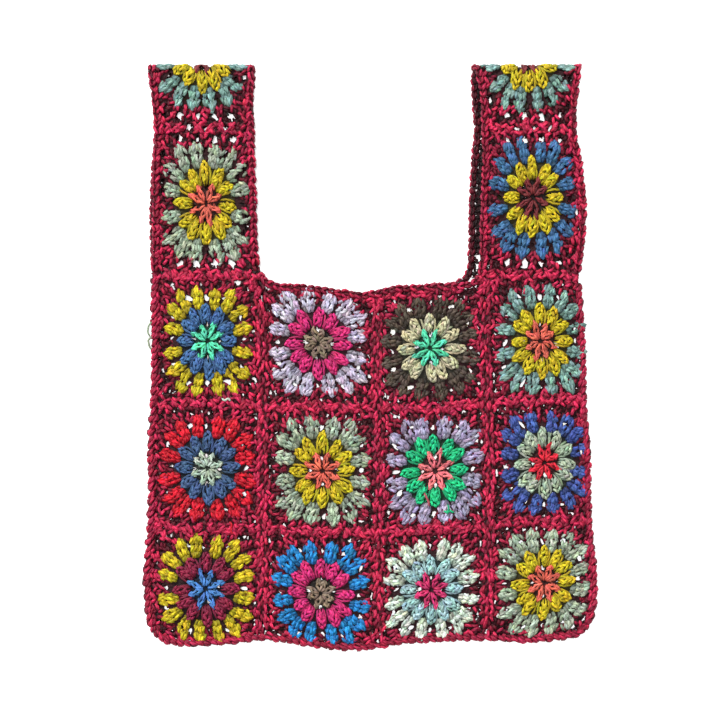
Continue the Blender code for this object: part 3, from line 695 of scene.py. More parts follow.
# Gaps through the ground of a square: along the axes in the rounds' own places, from the
# middle to the tips of the clusters, and in the corners and the border in the square's
GAP_HALF = 2.5
AXIS_GAPS = ((0.27, (0.8, 0.6)), (0.82, (1.2, 0.65)))
SLIT_AT, SLIT_HALF = (0.45, 0.80), (0.65, 1.4)
GAP_DRIFT = 1.5
GAP_SIZES = (0.5, 1.2)
SLIVERS = 18
SLIVER_SMALL, SLIVER_LARGE = (0.7, 1.4), (1.2, 2.7)
EDGE_SLITS, EDGE_SLIT_SMALL, EDGE_SLIT_LARGE = 3, (0.8, 1.3), (1.6, 3.2)
KEPT_OPEN = -0.5
GROUND_OPEN = 1.3
GAPS_WITHIN, RIM_CLEAR = 0.93, 0.985
CORNER_GAP_AT = (0.70, 0.895)
# On the handles, rows of larger gaps run across beside and between the squares
AIRY_PITCH, AIRY_HALF, AIRY_DRIFT, AIRY_SPAN = 15.5, (1.25, 1.4), 0.5, (0.74, 0.88)
AIRY_STRAP = ((1, 0.0), (1, 10.5), (-1, 10.5))
AIRY_FOLD = ((-1, 0.0), (-1, 10.5), (1, 0.0), (1, 10.5))
RIM_STEPS = 6
CORNER_REACH = 0.955
ROUND_EDGES = ((0.36, 2.0, 16), (0.66, 2.2, 24), (0.96, 4.0, 32))
# The ground sheet lies under the strands, its colour painted near black as the shade between them
GROUND_DEPTH, GROUND_THICK, GROUND_PAINTED_SHADE = 0.9, 1.0, 0.05
LOOP_SCALE = 420.0


def oval(at, half, lean, corners=8):
    turn = 2 * math.pi * (np.arange(corners) + 0.5) / corners
    x, y = half[0] * np.cos(turn), half[1] * np.sin(turn)
    c, s = math.cos(lean), math.sin(lean)
    return list(zip(at[0] + x * c - y * s, at[1] + x * s + y * c))


def ground_gaps(rounds, airy, seed):
    """The gaps left between the stitches of a square, in its own places from -1 to 1."""
    outer = rounds.outer
    size = GAP_HALF / outer
    places = []
    for quarter in range(4):
        order = slice(None, None, -1 if quarter % 2 else 1)
        for at, half in AXIS_GAPS:
            places.append((rounds.spot(at, 0, quarter) / outer, half[order]))
        for mirror in (-1, 1):
            at = rounds.spot(SLIT_AT[1], mirror * SLIT_AT[0], quarter) / outer
            places.append((at, SLIT_HALF[order]))
    if not airy:
        corner_u, corner_v = CORNER_GAP_AT
        corners = [(u * corner_u, v * corner_v) for u in (-1, 1) for v in (-1, 1)]
        places += [(np.array(corner), (1.0, 0.7)) for corner in corners]
    hand = np.random.default_rng(seed)
    gaps = []
    for at, half in places:
        at = at + hand.normal(0, GAP_DRIFT, 2) / outer
        half = size * np.array(half) * hand.uniform(*GAP_SIZES, 2)
        if np.all(np.abs(at) < GAPS_WITHIN):
            gaps.append(oval(at, half, hand.uniform(-0.9, 0.9)))
    for side, deep in airy:
        between = deep == 0
        left, right = rounds.ends[side]
        for n in range(-20, 21):
            u = 2 * ((n + between / 2) * AIRY_PITCH - left) / (right - left) - 1
            if abs(u) < AIRY_SPAN[not between]:
                at = np.array((u, side * (1 - deep / outer[1])))
                at = at + hand.normal(0, AIRY_DRIFT, 2) * (1, not between) / outer
                half = size * np.array(AIRY_HALF) * hand.uniform(0.8, 1.15, 2)
                gaps.append(oval(at, half, hand.uniform(-0.5, 0.5)))
    while len(gaps) < len(places) + SLIVERS:
        at = hand.uniform(-GAPS_WITHIN, GAPS_WITHIN, 2)
        if (np.abs((at * outer - rounds.middle) / rounds.half) ** 4).sum() > 1.0:
            half = hand.uniform(SLIVER_SMALL, SLIVER_LARGE) / outer
            gaps.append(oval(at, half, hand.uniform(-1.5, 1.5)))
    for side in (-1, 1):
        for along in hand.uniform(-0.88, 0.88, EDGE_SLITS):
            at = np.array((side * (1 - 2.4 / outer[0]), along))
            half = np.array((hand.uniform(*EDGE_SLIT_SMALL), hand.uniform(*EDGE_SLIT_LARGE))) / outer
            half *= 1.4 if airy else 1.0
            gaps.append(oval(at, half, hand.uniform(-0.3, 0.3)))
    return gaps


def ground_finish():
    """The under side of the stitches: the same cotton painted dark as shade, darker still between its
    loops, with the loops as relief.
    """
    finish = Finish("crochet_ground")
    place = finish.node("ShaderNodeTexCoord", output=3)
    loops = finish.node("ShaderNodeTexVoronoi", inputs={"Vector": place, "Scale": LOOP_SCALE})
    bump = finish.node("ShaderNodeBump", inputs={"Height": 1 - loops, "Distance": 0.0012})
    finish.shade(Base_Color=finish.yarn_colour(1 - loops * 0.5), Normal=bump, Roughness=0.85)
    return finish.material


ground_cotton = ground_finish()


def within(point, loop):
    """Whether a point lies inside a convex loop."""
    corners = np.array(loop)
    edges = np.roll(corners, -1, axis=0) - corners
    away = point - corners
    return bool(np.all(edges[:, 0] * away[:, 1] - edges[:, 1] * away[:, 0] > 0))


def kept_open(gap, outer):
    """A gap as a round place that no strand's middle lies in: x, y and radius in millimetres."""
    corners = np.array(gap) * outer
    middle = corners.mean(0)
    return (*middle, KEPT_OPEN + np.hypot(*(corners - middle).T).mean())


def opened(gap):
    """The gap's place in the ground, a little wider than between the strands over it."""
    corners = np.array(gap)
    middle = corners.mean(0)
    wider = middle + (corners - middle) * GROUND_OPEN
    limit = (RIM_CLEAR, 1.0 if abs(middle[1]) > 0.97 else RIM_CLEAR)
    return [tuple(np.clip(p, np.negative(limit), limit)) for p in wider]


def ground(name, surface, rounds, yarns, gaps, steps):
    """A thin openwork sheet under the strands: the rounds' colours painted near black, for the under side
    of the stitches and the shade between the strands.
    """
    side = [(1, 2 * i / steps - 1) for i in range(1, steps)]
    side = [(CORNER_REACH, -CORNER_REACH), *side]
    rim = [turned(*p, quarter) for quarter in range(4) for p in side]
    outer = rounds.outer
    rings = []
    for reach, power, count in ROUND_EDGES:
        turn = 2 * math.pi * np.arange(count) / count
        c, s = np.cos(turn), np.sin(turn)
        r = reach / (np.abs(c) ** power + np.abs(s) ** power) ** (1 / power)
        ring = [rounds.spot(u, v) / outer for u, v in zip(r * c, r * s)]
        rings.append([tuple(np.clip(p, -RIM_CLEAR, RIM_CLEAR)) for p in ring])
    points, borders = [], []
    gaps = [opened(gap) for gap in gaps]
    for loop in [rim, *gaps, *rings]:
        first = len(points)
        borders += [(first + i, first + (i + 1) % len(loop)) for i in range(len(loop))]
        points += loop
    made = delaunay_2d_cdt([Vector(p) for p in points], borders, [], 0, 1e-5)
    flat = np.array([tuple(v) for v in made[0]])
    faces, tints = [], []
    for face in made[2]:
        centre = flat[list(face)].mean(0)
        if any(within(centre, gap) for gap in gaps):
            continue
        at = np.abs((centre * outer - rounds.middle) / rounds.half)
        zone = sum((at ** power).sum() ** (1 / power) > reach for reach, power, _ in ROUND_EDGES)
        faces.append(face)
        # Painted shade: each zone's yarn colour made near black
        tints += [linear(yarns[min(zone, 2)]) * GROUND_PAINTED_SHADE] * len(face)
    base, out = surface(flat[:, 0] * outer[0], flat[:, 1] * outer[1])
    mesh = bpy.data.meshes.new(name)
    mesh.from_pydata(((base - out * GROUND_DEPTH) * MM).tolist(), [], faces)
    shade = mesh.color_attributes.new("yarn", "FLOAT_COLOR", "CORNER")
    shade.data.foreach_set("color", np.hstack([tints, np.ones((len(tints), 1))]).ravel())
    mesh.materials.append(ground_cotton)
    piece = placed(name, mesh)
    thick = piece.modifiers.new("thickness", "SOLIDIFY")
    thick.thickness = GROUND_THICK * MM
    thick.offset = 0
    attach(piece, "root")
    return piece


LIFTS = {"star": 0.1, "petals": 0.15, "clusters": 0.05, "border": -0.1}
BACK_SEED = 1000


def granny_square(name, node, surface, rounds, yarns, width, seed, airy=(), steps=RIM_STEPS):
    """One square: its ground sheet and the strands that lie on it."""
    back = node.startswith(("back", "strap_back"))
    gaps = ground_gaps(rounds, airy, seed)
    strands = Strands(seed + BACK_SEED * back, back, [kept_open(gap, rounds.outer) for gap in gaps])
    star(strands, rounds, yarns[0], LIFTS["star"])
    petals(strands, rounds, yarns[1], LIFTS["petals"])
    clusters(strands, rounds, yarns[2], LIFTS["clusters"], width)
    border(strands, rounds, LIFTS["border"])
    piece = knit(f"{name}_stitches", strands, surface)
    sheet = ground(f"{name}_ground", surface, rounds, (*yarns[:2], "crimson"), gaps, steps)
    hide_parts(node)


def body_squares(layer, squares):
    """The squares of the body's front or back, their rounds drawn to where the front's lie."""
    for row, row_name in enumerate(("top", "middle", "bottom")):
        for column in range(COLUMNS):
            key = f"{row_name}_{column + 1}"
            x, y, half_width, half_height, width, *_ = FRONT_SQUARES[key]
            place = body_place(row, column)
            outer, middle = half_size(place), middle_of_rounds((x, y), place)
            reach = (BORDER_REACH + (column in (0, COLUMNS - 1)), BORDER_REACH)
            granny_square(
                f"{layer}_square_{key}", f"{layer}_{key}", flat_on(layer, place, outer),
                Rounds((half_width, half_height), middle, outer, reach), squares[key][-3:], width,
                seed=10 * row + column,
            )


body_squares("front", FRONT_SQUARES)

# The back of the body is twelve squares of the same make, laid out as the front's are.
# The photograph doesn't show them, so their yarns are the front's in another order.
BACK_SQUARES = {
    # name: (star, petals, clusters)
    "top_1": ("coral", "yellow", "sage"), "top_2": ("maroon", "yellow", "teal"),
    "top_3": ("blue", "crimson", "yellow"), "top_4": ("khaki", "magenta", "lilac"),
    "middle_1": ("scarlet", "sage", "royal"), "middle_2": ("rose", "sky", "ivory"),
    "middle_3": ("coral", "yellow", "sage"), "middle_4": ("mint", "navy", "yellow"),
    "bottom_1": ("coral", "yellow", "sage"), "bottom_2": ("pale_sage", "ink", "red"),
    "bottom_3": ("khaki", "magenta", "azure"), "bottom_4": ("maroon", "yellow", "steel"),
}

body_squares("back", BACK_SQUARES)

# Each handle has a granny square on its front and one on its back, longer than they are
# wide because the handle's own weight draws them out. They are of the same cotton.
EDGING_RADIUS = 2.6
EDGE_INSET = 2 * EDGING_RADIUS + 1.0
HANDLE_SEAM_Y = 206.5
TOP_Y = 264.2
SIDES = ("left", "right")

# Edges of the handles from the mouth up, on the front and on the back
HANDLE_LINES = {
    "front": np.array((
        # y, left handle's outer and inner edge, right handle's inner and outer edge
        (MOUTH_Y, -196.6, -99.4, 99.0, 189.0),
        (106.0, -195.3, -102.0, 99.2, 193.5),
        (141.7, -195.3, -102.6, 100.0, 194.4),
        (173.0, -195.0, -103.8, 102.0, 191.0),
        (HANDLE_SEAM_Y, -192.6, -104.4, 101.0, 184.8),
        (228.0, -195.3, -106.2, 100.4, 186.3),
        (249.7, -198.0, -104.6, 98.2, 188.4),
        (TOP_Y, -199.8, -104.0, 92.4, 190.8),
    )),
    "back": np.array((
        (MOUTH_Y, -196.8, -99.8, 88.4, 189.0),
        (106.0, -198.4, -104.6, 89.6, 186.0),
        (141.7, -198.6, -106.2, 90.0, 184.4),
        (173.0, -196.8, -106.0, 91.6, 184.0),
        (HANDLE_SEAM_Y, -193.6, -105.0, 95.0, 184.2),
        (228.0, -195.6, -106.4, 92.9, 184.6),
        (249.7, -198.2, -104.8, 91.6, 187.2),
        (TOP_Y, -199.8, -104.0, 92.4, 190.8),
    )),
}
HANDLE_REACH = (3.2, BORDER_REACH)
HANDLE_SQUARES = {
    # side: (x, y, half width, half height, width of its clusters, front's yarns, back's yarns)
    "left": (-147.5, 138.4, 39.8, 55.0, 13.4, ("coral", "yellow", "sage"), ("maroon", "yellow", "steel")),
    "right": (146.8, 144.0, 40.0, 54.0, 12.4, ("maroon", "yellow", "steel"), ("coral", "yellow", "sage")),
}


def handle_place(layer, side):
    """Where a handle square's own places, from -1 to 1 both ways, lie on that layer."""
    first = 1 + 2 * SIDES.index(side)

    def place(u, v):
        low = MOUTH_Y + PIECE_GAP / 2
        y = low + (HANDLE_SEAM_Y - PIECE_GAP / 2 - low) * (v + 1) / 2
        left = read(HANDLE_LINES[layer], first, y) + EDGE_INSET
        right = read(HANDLE_LINES[layer], first + 1, y) - EDGE_INSET
        return left + (right - left) * (u + 1) / 2, y

    return place


for number, side in enumerate(SIDES):
    x, y, half_width, half_height, width, front_yarns, back_yarns = HANDLE_SQUARES[side]
    for layer, yarns in (("front", front_yarns), ("back", back_yarns)):
        place = handle_place(layer, side)
        outer = half_size(place)
        middle = middle_of_rounds((x, y), place) if layer == "front" else (0.0, 0.0)
        ends = {v: [float(place(u, 0.9 * v)[0]) for u in (-1.0, 1.0)] for v in (-1, 1)}
        rounds = Rounds((half_width, half_height), middle, outer, HANDLE_REACH, ends)
        granny_square(
            f"handle_square_{layer}_{side}", f"strap_{layer}_{side}", flat_on(layer, place, outer),
            rounds, yarns, width, seed=200 + number, airy=AIRY_STRAP,
        )

# The square at the top of each handle is bent in half over the fold, so that its star
# lies on the bend. It joins the front of the handle to the back.
FOLD_RADIUS = (FRONT_MIDDLE - BACK_MIDDLE) / 2
FOLD_HEIGHT = (FRONT_MIDDLE + BACK_MIDDLE) / 2
FOLD_Y = TOP_Y - FOLD_RADIUS - FABRIC / 2
FOLD_YARNS = ("maroon", "yellow", "teal")
FOLD_ROUNDS = 54.0
FOLD_BEHIND = 9.5
FOLD_CLUSTER, FOLD_RIM_STEPS = 10.5, 24


def round_fold(along, radius, middle_height):
    """Place and turn, going up the front by along, over the fold and down the back."""
    straight = FOLD_Y - HANDLE_SEAM_Y
    turn = np.clip((along - straight) / radius, 0, math.pi)
    past = np.maximum(along - straight - math.pi * radius, 0)
    before = np.minimum(along, straight)
    y = HANDLE_SEAM_Y + before + radius * np.sin(turn) - past
    return y, middle_height + radius * np.cos(turn), turn


def fold_edges(side, y, turn):
    """The handle's two edges at the fold, passing from the front's to the back's."""
    first = 1 + 2 * SIDES.index(side)
    share = ease(turn / math.pi)
    return [
        read(HANDLE_LINES["front"], column, y) * (1 - share)
        + read(HANDLE_LINES["back"], column, y) * share
        for column in (first, first + 1)
    ]


def over_fold(side, half):
    """Lays a square's flat millimetres over the fold."""

    def surface(x, y):
        along = PIECE_GAP / 2 + half[1] + y
        py, pz, turn = round_fold(along, FOLD_RADIUS, FOLD_HEIGHT)
        left, right = fold_edges(side, py, turn)
        left, right = left + EDGE_INSET, right - EDGE_INSET
        behind = ease(turn / math.pi)
        px = left + (right - left) * (x / half[0] + 1) / 2
        points = np.stack([px, py, pz + BACK_SUNK * behind], -1)
        out = np.stack([0 * px, np.sin(turn), np.cos(turn)], -1)
        return points, out * (1 - (1 - BACK_FLAT) * behind)[..., None]

    return surface


for number, side in enumerate(SIDES):
    length = 2 * (FOLD_Y - HANDLE_SEAM_Y - PIECE_GAP / 2) + math.pi * FOLD_RADIUS
    edges = fold_edges(side, np.array(235.0), np.array(0.0))
    outer = (float(edges[1] - edges[0]) / 2 - EDGE_INSET, length / 2)
    half, middle = (outer[0] - 0.5, FOLD_ROUNDS), (0.0, FOLD_BEHIND)
    ends = {}
    for v, turn in ((-1, 0.0), (1, math.pi)):
        left, right = fold_edges(side, np.array(HANDLE_SEAM_Y + 5), np.array(turn))
        ends[v] = (float(left) + EDGE_INSET, float(right) - EDGE_INSET)
    rounds = Rounds(half, middle, outer, HANDLE_REACH, ends)
    granny_square(
        f"handle_fold_{side}", f"strap_fold_{side}", over_fold(side, outer), rounds, FOLD_YARNS,
        FOLD_CLUSTER, seed=210 + number, airy=AIRY_FOLD, steps=FOLD_RIM_STEPS,
    )

# The squares are joined in columns and rows with crimson cotton. The long seams between
# the columns are raised braids, two leaning loops to a stitch, on both sides of the bag.
SEAM_TOPS = (62.5, 51.5, 63.0)
SEAM_FOOT_Y = -250.0
SEAM_STITCH = 3.9
SEAM_TURNED = 0.25
SEAM_COLUMNS = (-3.4, -1.2, 1.2, 3.4)
SEAM_HEIGHTS, SEAM_RAISED = (1.5, 1.0, 0.5, 0.0), 0.6
# Cords low under the seam's stitches, painted near black as the shade between them
SEAM_CORES, SEAM_CORE_YARN, SEAM_CORE_PAINTED_SHADE = (-2.6, 0.0, 2.6), 1.9, 0.075


def along_seam(layer, column):
    """Lays flat millimetres, across and along a column seam, on the bag."""
    return lambda x, y: on_layer(layer, read(COLUMN_LINES, column, y) + x, y, SEAM_RAISED)


for layer in ("front", "back"):
    back = layer == "back"
    for number in (1, 2, 3):
        strands = Strands(300 + number + 10 * back, back)
        foot_x = float(read(COLUMN_LINES, number + 1, SEAM_FOOT_Y))
        low = float(read(ROW_LINES, 1, foot_x)) + BOTTOM_SEAM + SEAM_CLEARANCE
        high = SEAM_TOPS[number - 1]
        for i, y in enumerate(np.arange(low + 2, high - 4, SEAM_STITCH)):
            for x in SEAM_COLUMNS[i % 2::2]:
                lean = strands.random.uniform(0.8, 3.2) * (1 if x < 0 else -1)
                lean *= -1 if strands.random.random() < SEAM_TURNED else 1
                x, y0 = strands.near(x, 0.5), strands.near(y, 0.8)
                long = strands.near(4.3, 0.5)
                out, bow = strands.random.choice(SEAM_HEIGHTS), strands.random.normal(0, 0.6)
                start, end = (x - lean / 2, y0 - long), (x + lean / 2, y0 + long)
                strands.arc(start, end, -0.8, out, "crimson", bow, radius=THICK)
        core = np.linspace(low + 2, high - 2, 24)
        for x in SEAM_CORES:
            strands.add(x, core, -1.0, "crimson", radius=SEAM_CORE_YARN, shade=SEAM_CORE_PAINTED_SHADE)
        seam = knit(f"column_seam_{layer}_{number}", strands, along_seam(layer, number + 1))
        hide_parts(f"{layer}_seam_{number}")

# Between the rows the joining is worked as a zigzag of long crimson stitches, with a
# second row of them where a handle meets the bag and where it meets its folded square.
ZIGZAG_PITCH, ZIGZAG_TALL = 17.5, 9.0
SMALL_PITCH, SMALL_PITCH_BACK = 2.4, 4.0


def zigzag(strands, low, high, back):
    """Leaning stitches in twos and threes along a line that runs across."""
    count = max(1, round((high - low) / ZIGZAG_PITCH))
    pitch = (high - low) / count
    for i in range(count):
        peak = strands.near(low + pitch * (i + 0.5), 0.8)
        for hand in (-1, 1):
            for n in range(2):
                start = (peak + hand * (pitch * 0.45 - 2.6 * n), 0.4 * n - ZIGZAG_TALL / 2)
                end = (peak + hand * (1.6 - 0.4 * n), ZIGZAG_TALL / 2 - 3.0 * n)
                strands.arc(start, end, -0.3, 1.2 - 0.4 * n, "crimson", bow=-0.5 * hand, radius=THICK)
    for n, x in enumerate(np.arange(low + 2, high - 2, SMALL_PITCH_BACK if back else SMALL_PITCH)):
        y = (3.0 if n % 2 else -3.0) + strands.random.normal(0, 0.8)
        turn = strands.random.uniform(0.3, 1.25) * strands.random.choice((-1, 1))
        strands.stitch((x, y), turn, -0.8, strands.random.choice(STITCH_HEIGHTS) - 0.3)


JOINS = (
    # name, the height of its line, and its stretches from left to right
    ("lower_row", lambda x: read(ROW_LINES, 2, x), ((-196, -101), (-92, 4), (13, 103), (112, 195))),
    ("upper_row", lambda x: read(ROW_LINES, 3, x), ((-191, -101), (-92, 2), (11, 101), (110, 191))),
    ("handle_feet", lambda x: MOUTH_Y, ((-189, -108), (107, 183))),
    ("handle_tops", lambda x: HANDLE_SEAM_Y, ((-186, -112), (109, 178))),
)
JOIN_HOLES = [((n + 0.5) * AIRY_PITCH, 0.0, 1.7) for n in range(-13, 13)]
for layer in ("front", "back"):
    back = layer == "back"
    for number, (name, line, stretches) in enumerate(JOINS):
        strands = Strands(330 + number + 10 * back, back, JOIN_HOLES if name == "handle_tops" else ())
        for low, high in stretches:
            zigzag(strands, low, high, back)
        join = knit(
            f"row_join_{layer}_{name}", strands, lambda x, y: on_layer(layer, x, line(x) + y)
        )

# The sides and the bottom are closed with a round of leaning crimson stitches through
# both layers, drawn tight so that the edge stands in shallow scallops.
SIDE_TOP_Y = MOUTH_Y - 1.2
SEAM_HALF_HEIGHT = 4.4
SCALLOP, SCALLOP_LENGTH = 0.9, 12.4
EDGE_STITCH = 6.2
EDGE_ARCS = (
    # round the edge and along at the start and at the end, height of ends and middle
    (-5.2, 0.0, -0.6, 7.8, -0.8, 1.1), (-2.2, -1.2, 2.0, 7.2, -0.7, 1.3),
    (0.8, 0.2, 4.6, 7.8, -0.8, 1.0), (4.6, 1.0, 7.8, 7.8, -0.7, 0.4),
    (8.0, 0.0, 11.0, 7.0, -0.8, -0.1),
)
# Painted shade on the edge's loops: a little darker all over, and darker the further round the edge a
# loop lies
EDGE_PAINTED_SHADE, EDGE_PAINTED_FALL, EDGE_YARN = 0.95, 0.085, 1.65
# Cords low under the edge's stitches, painted near black as the shade between them
EDGE_CORES, EDGE_CORE_PAINTED_SHADE = ((-5.6, 2.1), (0.5, 1.7), (4.6, 1.7), (9.0, 1.5)), 0.15


def edge_path():
    """The outline of the body from the left side down, round and up the right side."""
    levels = np.linspace(SIDE_TOP_Y, -236, 60)
    places = np.linspace(-197.5, 196, 70)
    left = np.stack([read(COLUMN_LINES, 1, levels), levels], 1)
    bottom = np.stack([places, read(ROW_LINES, 1, places)], 1)
    right = np.stack([read(COLUMN_LINES, 5, levels[::-1]), levels[::-1]], 1)
    points = np.concatenate([left, bottom, right])
    widths = np.repeat([SIDE_SEAM_LEFT, BOTTOM_SEAM, SIDE_SEAM_RIGHT], [60, 70, 60])
    smooth = np.array([0.25, 0.5, 0.25])
    for _ in range(2):
        points[1:-1] = sum(w * points[i:len(points) - 2 + i] for i, w in enumerate(smooth))
    return points, widths


def between(at, length, points):
    """Places, or ways, at the given lengths along a line of points."""
    return np.stack([np.interp(at, length, column) for column in points.T], -1)


def edge_surface(points, widths):
    """Lays millimetres round and along the outline on the rounded edge of the bag."""
    length, along = length_along(points), unit(np.gradient(points, axis=0))

    def surface(w, s):
        at, tangent = between(s, length, points), between(s, length, along)
        inward = unit(np.stack([-tangent[..., 1], tangent[..., 0]], -1))
        half = np.interp(s, length, widths) / 2 - 0.6
        half = half + SCALLOP * np.sin(2 * math.pi * s / SCALLOP_LENGTH)
        turn = w / SEAM_HALF_HEIGHT
        top = front_middle(at[..., 0], at[..., 1]) + FABRIC / 2
        middle = at + inward * (np.interp(s, length, widths) / 2 + 0.4)[..., None]
        flat = middle - inward * (np.sin(turn) * half)[..., None]
        z = top / 2 + 0.5 + np.cos(turn) * (top / 2 - 1.2)
        radial = np.concatenate([-inward * np.sin(turn)[..., None], np.cos(turn)[..., None]], -1)
        return np.concatenate([flat, z[..., None]], -1), radial

    return surface, length[-1]


def loops_along(strands, places, arcs, loose, bow, fall):
    """The same few loops at each place along a round edge, painted darker further round as shade."""
    for s in places:
        for w0, s0, w1, s1, ends, middle in arcs:
            s0, s1 = strands.near((s + s0, s + s1), loose[0])
            high = strands.near(middle, loose[1])
            shade = EDGE_PAINTED_SHADE - fall * abs(w0)
            strands.arc((w0, s0), (w1, s1), ends, high, "crimson", bow, shade, EDGE_YARN)


rounded_edge, edge_length = edge_surface(*edge_path())
strands = Strands(360)
places = np.arange(0.5, edge_length - 8, EDGE_STITCH)
loops_along(strands, places, EDGE_ARCS, (0.5, 0.4), -0.5, EDGE_PAINTED_FALL)
for w, radius in EDGE_CORES:
    at = np.linspace(2, edge_length - 2, 150)
    strands.add(w, at, -1.3, "crimson", radius=radius, shade=EDGE_CORE_PAINTED_SHADE)
edge_seam = knit("side_and_bottom_seam", strands, rounded_edge)
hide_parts("side_bottom_seam")

# The mouth and the edges of the handles have a chain of crimson cotton. One closed loop
# goes round the mouth and both inner edges, and one up and over each outer edge.
HANDLE_EDGING_LOW = 86.0
HANDLE_FOOT_Y = MOUTH_Y + 1.6
# How long a chain stitch is, and how much darker its loops are painted further round the cord, as shade
CHAIN_STITCH, CHAIN_PAINTED_FALL = 6.2, 0.15
CHAIN_ARCS = (
    # round the cord and along at the start and at the end, height of ends and middle
    (0.2, 0.0, 2.6, 8.0, -0.5, 1.0), (-0.2, 0.6, -2.6, 8.4, -0.5, 1.0),
    (3.2, 0.0, 5.0, 7.4, -0.6, 0.2), (-3.2, 0.6, -5.0, 7.8, -0.6, 0.2),
)
# The chain's core, painted dark as the shade under its loops
CHAIN_ROUND, CHAIN_CORE_YARN, CHAIN_CORE_PAINTED_SHADE = 1.6, 1.7, 0.25

# Middle line of the mouth edging between the handles, left to right
MOUTH_LINE = {
    "front": (
        # x, y
        (-100.9, 77.5), (-98.6, 72.0), (-94.4, 67.4), (-88.0, 64.8), (-77.0, 63.0),
        (-59.0, 62.6), (-41.0, 60.2), (-23.0, 57.4), (-5.0, 55.6), (8.0, 58.2),
        (22.0, 61.4), (40.0, 62.0), (58.0, 63.6), (76.0, 63.8), (88.0, 64.6),
        (95.0, 67.4), (99.6, 72.2), (101.4, 78.5),
    ),
    "back": (
        (-101.4, 77.5), (-98.6, 72.0), (-94.4, 67.4), (-88.0, 64.8), (-77.0, 63.0),
        (-59.0, 62.6), (-41.0, 60.2), (-23.0, 57.4), (-5.0, 55.6), (8.0, 58.2),
        (22.0, 61.4), (40.0, 62.0), (58.0, 63.6), (72.0, 64.2), (81.0, 66.4),
        (87.0, 71.0), (90.2, 77.0),
    ),
}


def edging_height(layer, x, y):
    """Height of an edging's middle, kept clear of the edging below it."""
    if layer == "back":
        return EDGING_RADIUS
    return max(float(front_middle(x, y)), 3 * EDGING_RADIUS + PIECE_GAP)


def handle_loop(side, inner, low):
    """An edging's way up one edge of a handle, over the fold and down the back, with turns."""
    column = 1 + 2 * SIDES.index(side) + (1 if inner == (side == "left") else 0)
    inward = EDGING_RADIUS if column % 2 else -EDGING_RADIUS
    levels = np.linspace(low, FOLD_Y, 14)
    route = []
    for layer, heights in (("front", levels), ("back", levels[::-1])):
        for y in heights:
            x = float(read(HANDLE_LINES[layer], column, y)) + inward
            route.append((x, y, edging_height(layer, x, y), 0.0 if layer == "front" else math.pi))
    radius, middle = (FRONT_MIDDLE - EDGING_RADIUS) / 2, (FRONT_MIDDLE + EDGING_RADIUS) / 2
    bend = []
    for turn in np.linspace(0, math.pi, 8)[1:-1]:
        y = FOLD_Y + radius * math.sin(turn)
        edges = fold_edges(side, np.array(y), np.array(turn))
        bend.append((float(edges[(column - 1) % 2]) + inward, y, middle + radius * math.cos(turn), turn))
    return route[:14] + bend + route[14:]


def neck_loop():
    """The way round the mouth and both inner handle edges, with turns."""
    front = [(x, y, edging_height("front", x, y), 0.0) for x, y in MOUTH_LINE["front"]]
    back = [(x, y, edging_height("back", x, y), math.pi) for x, y in MOUTH_LINE["back"]]
    right = handle_loop("right", True, HANDLE_EDGING_LOW)
    left = handle_loop("left", True, HANDLE_EDGING_LOW)
    loop = front + right + back[::-1] + left[::-1]
    return loop + loop[:1]


def cord_surface(route):
    """Lays millimetres round and along a route on a cord, its turn 0 facing out of the cloth."""
    points, turns = np.array([p[:3] for p in route]), np.array([p[3] for p in route])
    length = length_along(points)
    closer = np.linspace(0, length[-1], round(length[-1] / 3))
    line = between(closer, length, points)
    line[1:-1] = (line[:-2] + 2 * line[1:-1] + line[2:]) / 4
    along = unit(np.gradient(line, axis=0))
    turn_at = np.interp(closer, length, turns)

    def surface(w, s):
        at, tangent = between(s, closer, line), unit(between(s, closer, along))
        lean = np.interp(s, closer, turn_at)
        normal = np.stack([0 * lean, np.sin(lean), np.cos(lean)], -1)
        side = unit(np.cross(tangent, normal))
        normal = np.cross(side, tangent)
        wave = SCALLOP * np.sin(2 * math.pi * s / SCALLOP_LENGTH)
        turn = (w / CHAIN_ROUND)[..., None]
        radial = np.cos(turn) * normal + np.sin(turn) * side
        return at + side * wave[..., None] * 0.5 + radial * CHAIN_ROUND, radial

    return surface, length[-1]


def chain(name, node, route, seed):
    """A chain edging along its route, with its loops on all sides."""
    surface, length = cord_surface(route)
    strands = Strands(seed)
    places = np.arange(0.3, length - 7, CHAIN_STITCH)
    loops_along(strands, places, CHAIN_ARCS, (0.4, 0.35), 0.3, CHAIN_PAINTED_FALL)
    core = np.linspace(1, length - 1, round(length / 8))
    strands.add(0.0, core, -CHAIN_ROUND, "crimson", radius=CHAIN_CORE_YARN, shade=CHAIN_CORE_PAINTED_SHADE)
    piece = knit(name, strands, surface)
    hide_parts(node)


chain("mouth_and_handle_chain", "neck_edging", neck_loop(), 370)
for number, side in enumerate(SIDES):
    route = handle_loop(side, False, HANDLE_FOOT_Y)
    chain(f"outer_handle_chain_{side}", f"handle_edging_{side}", route, 371 + number)

# Below the mouth's chain and in its corners the squares are drawn to it with short crimson
# stitches, on the front and on the back. They close the corners where four pieces meet.
CORNERS = (
    # middle, half the width and height, and how many stitches
    ((-102.0, 66.0), (6.5, 8.5), 34), ((7.0, 49.0), (6.5, 5.5), 34), ((104.0, 67.0), (6.5, 8.5), 34),
    ((-193.5, 75.0), (2.0, 5.0), 12), ((185.5, 75.0), (2.0, 5.0), 12),
)
MOUTH_STITCH = 3.6


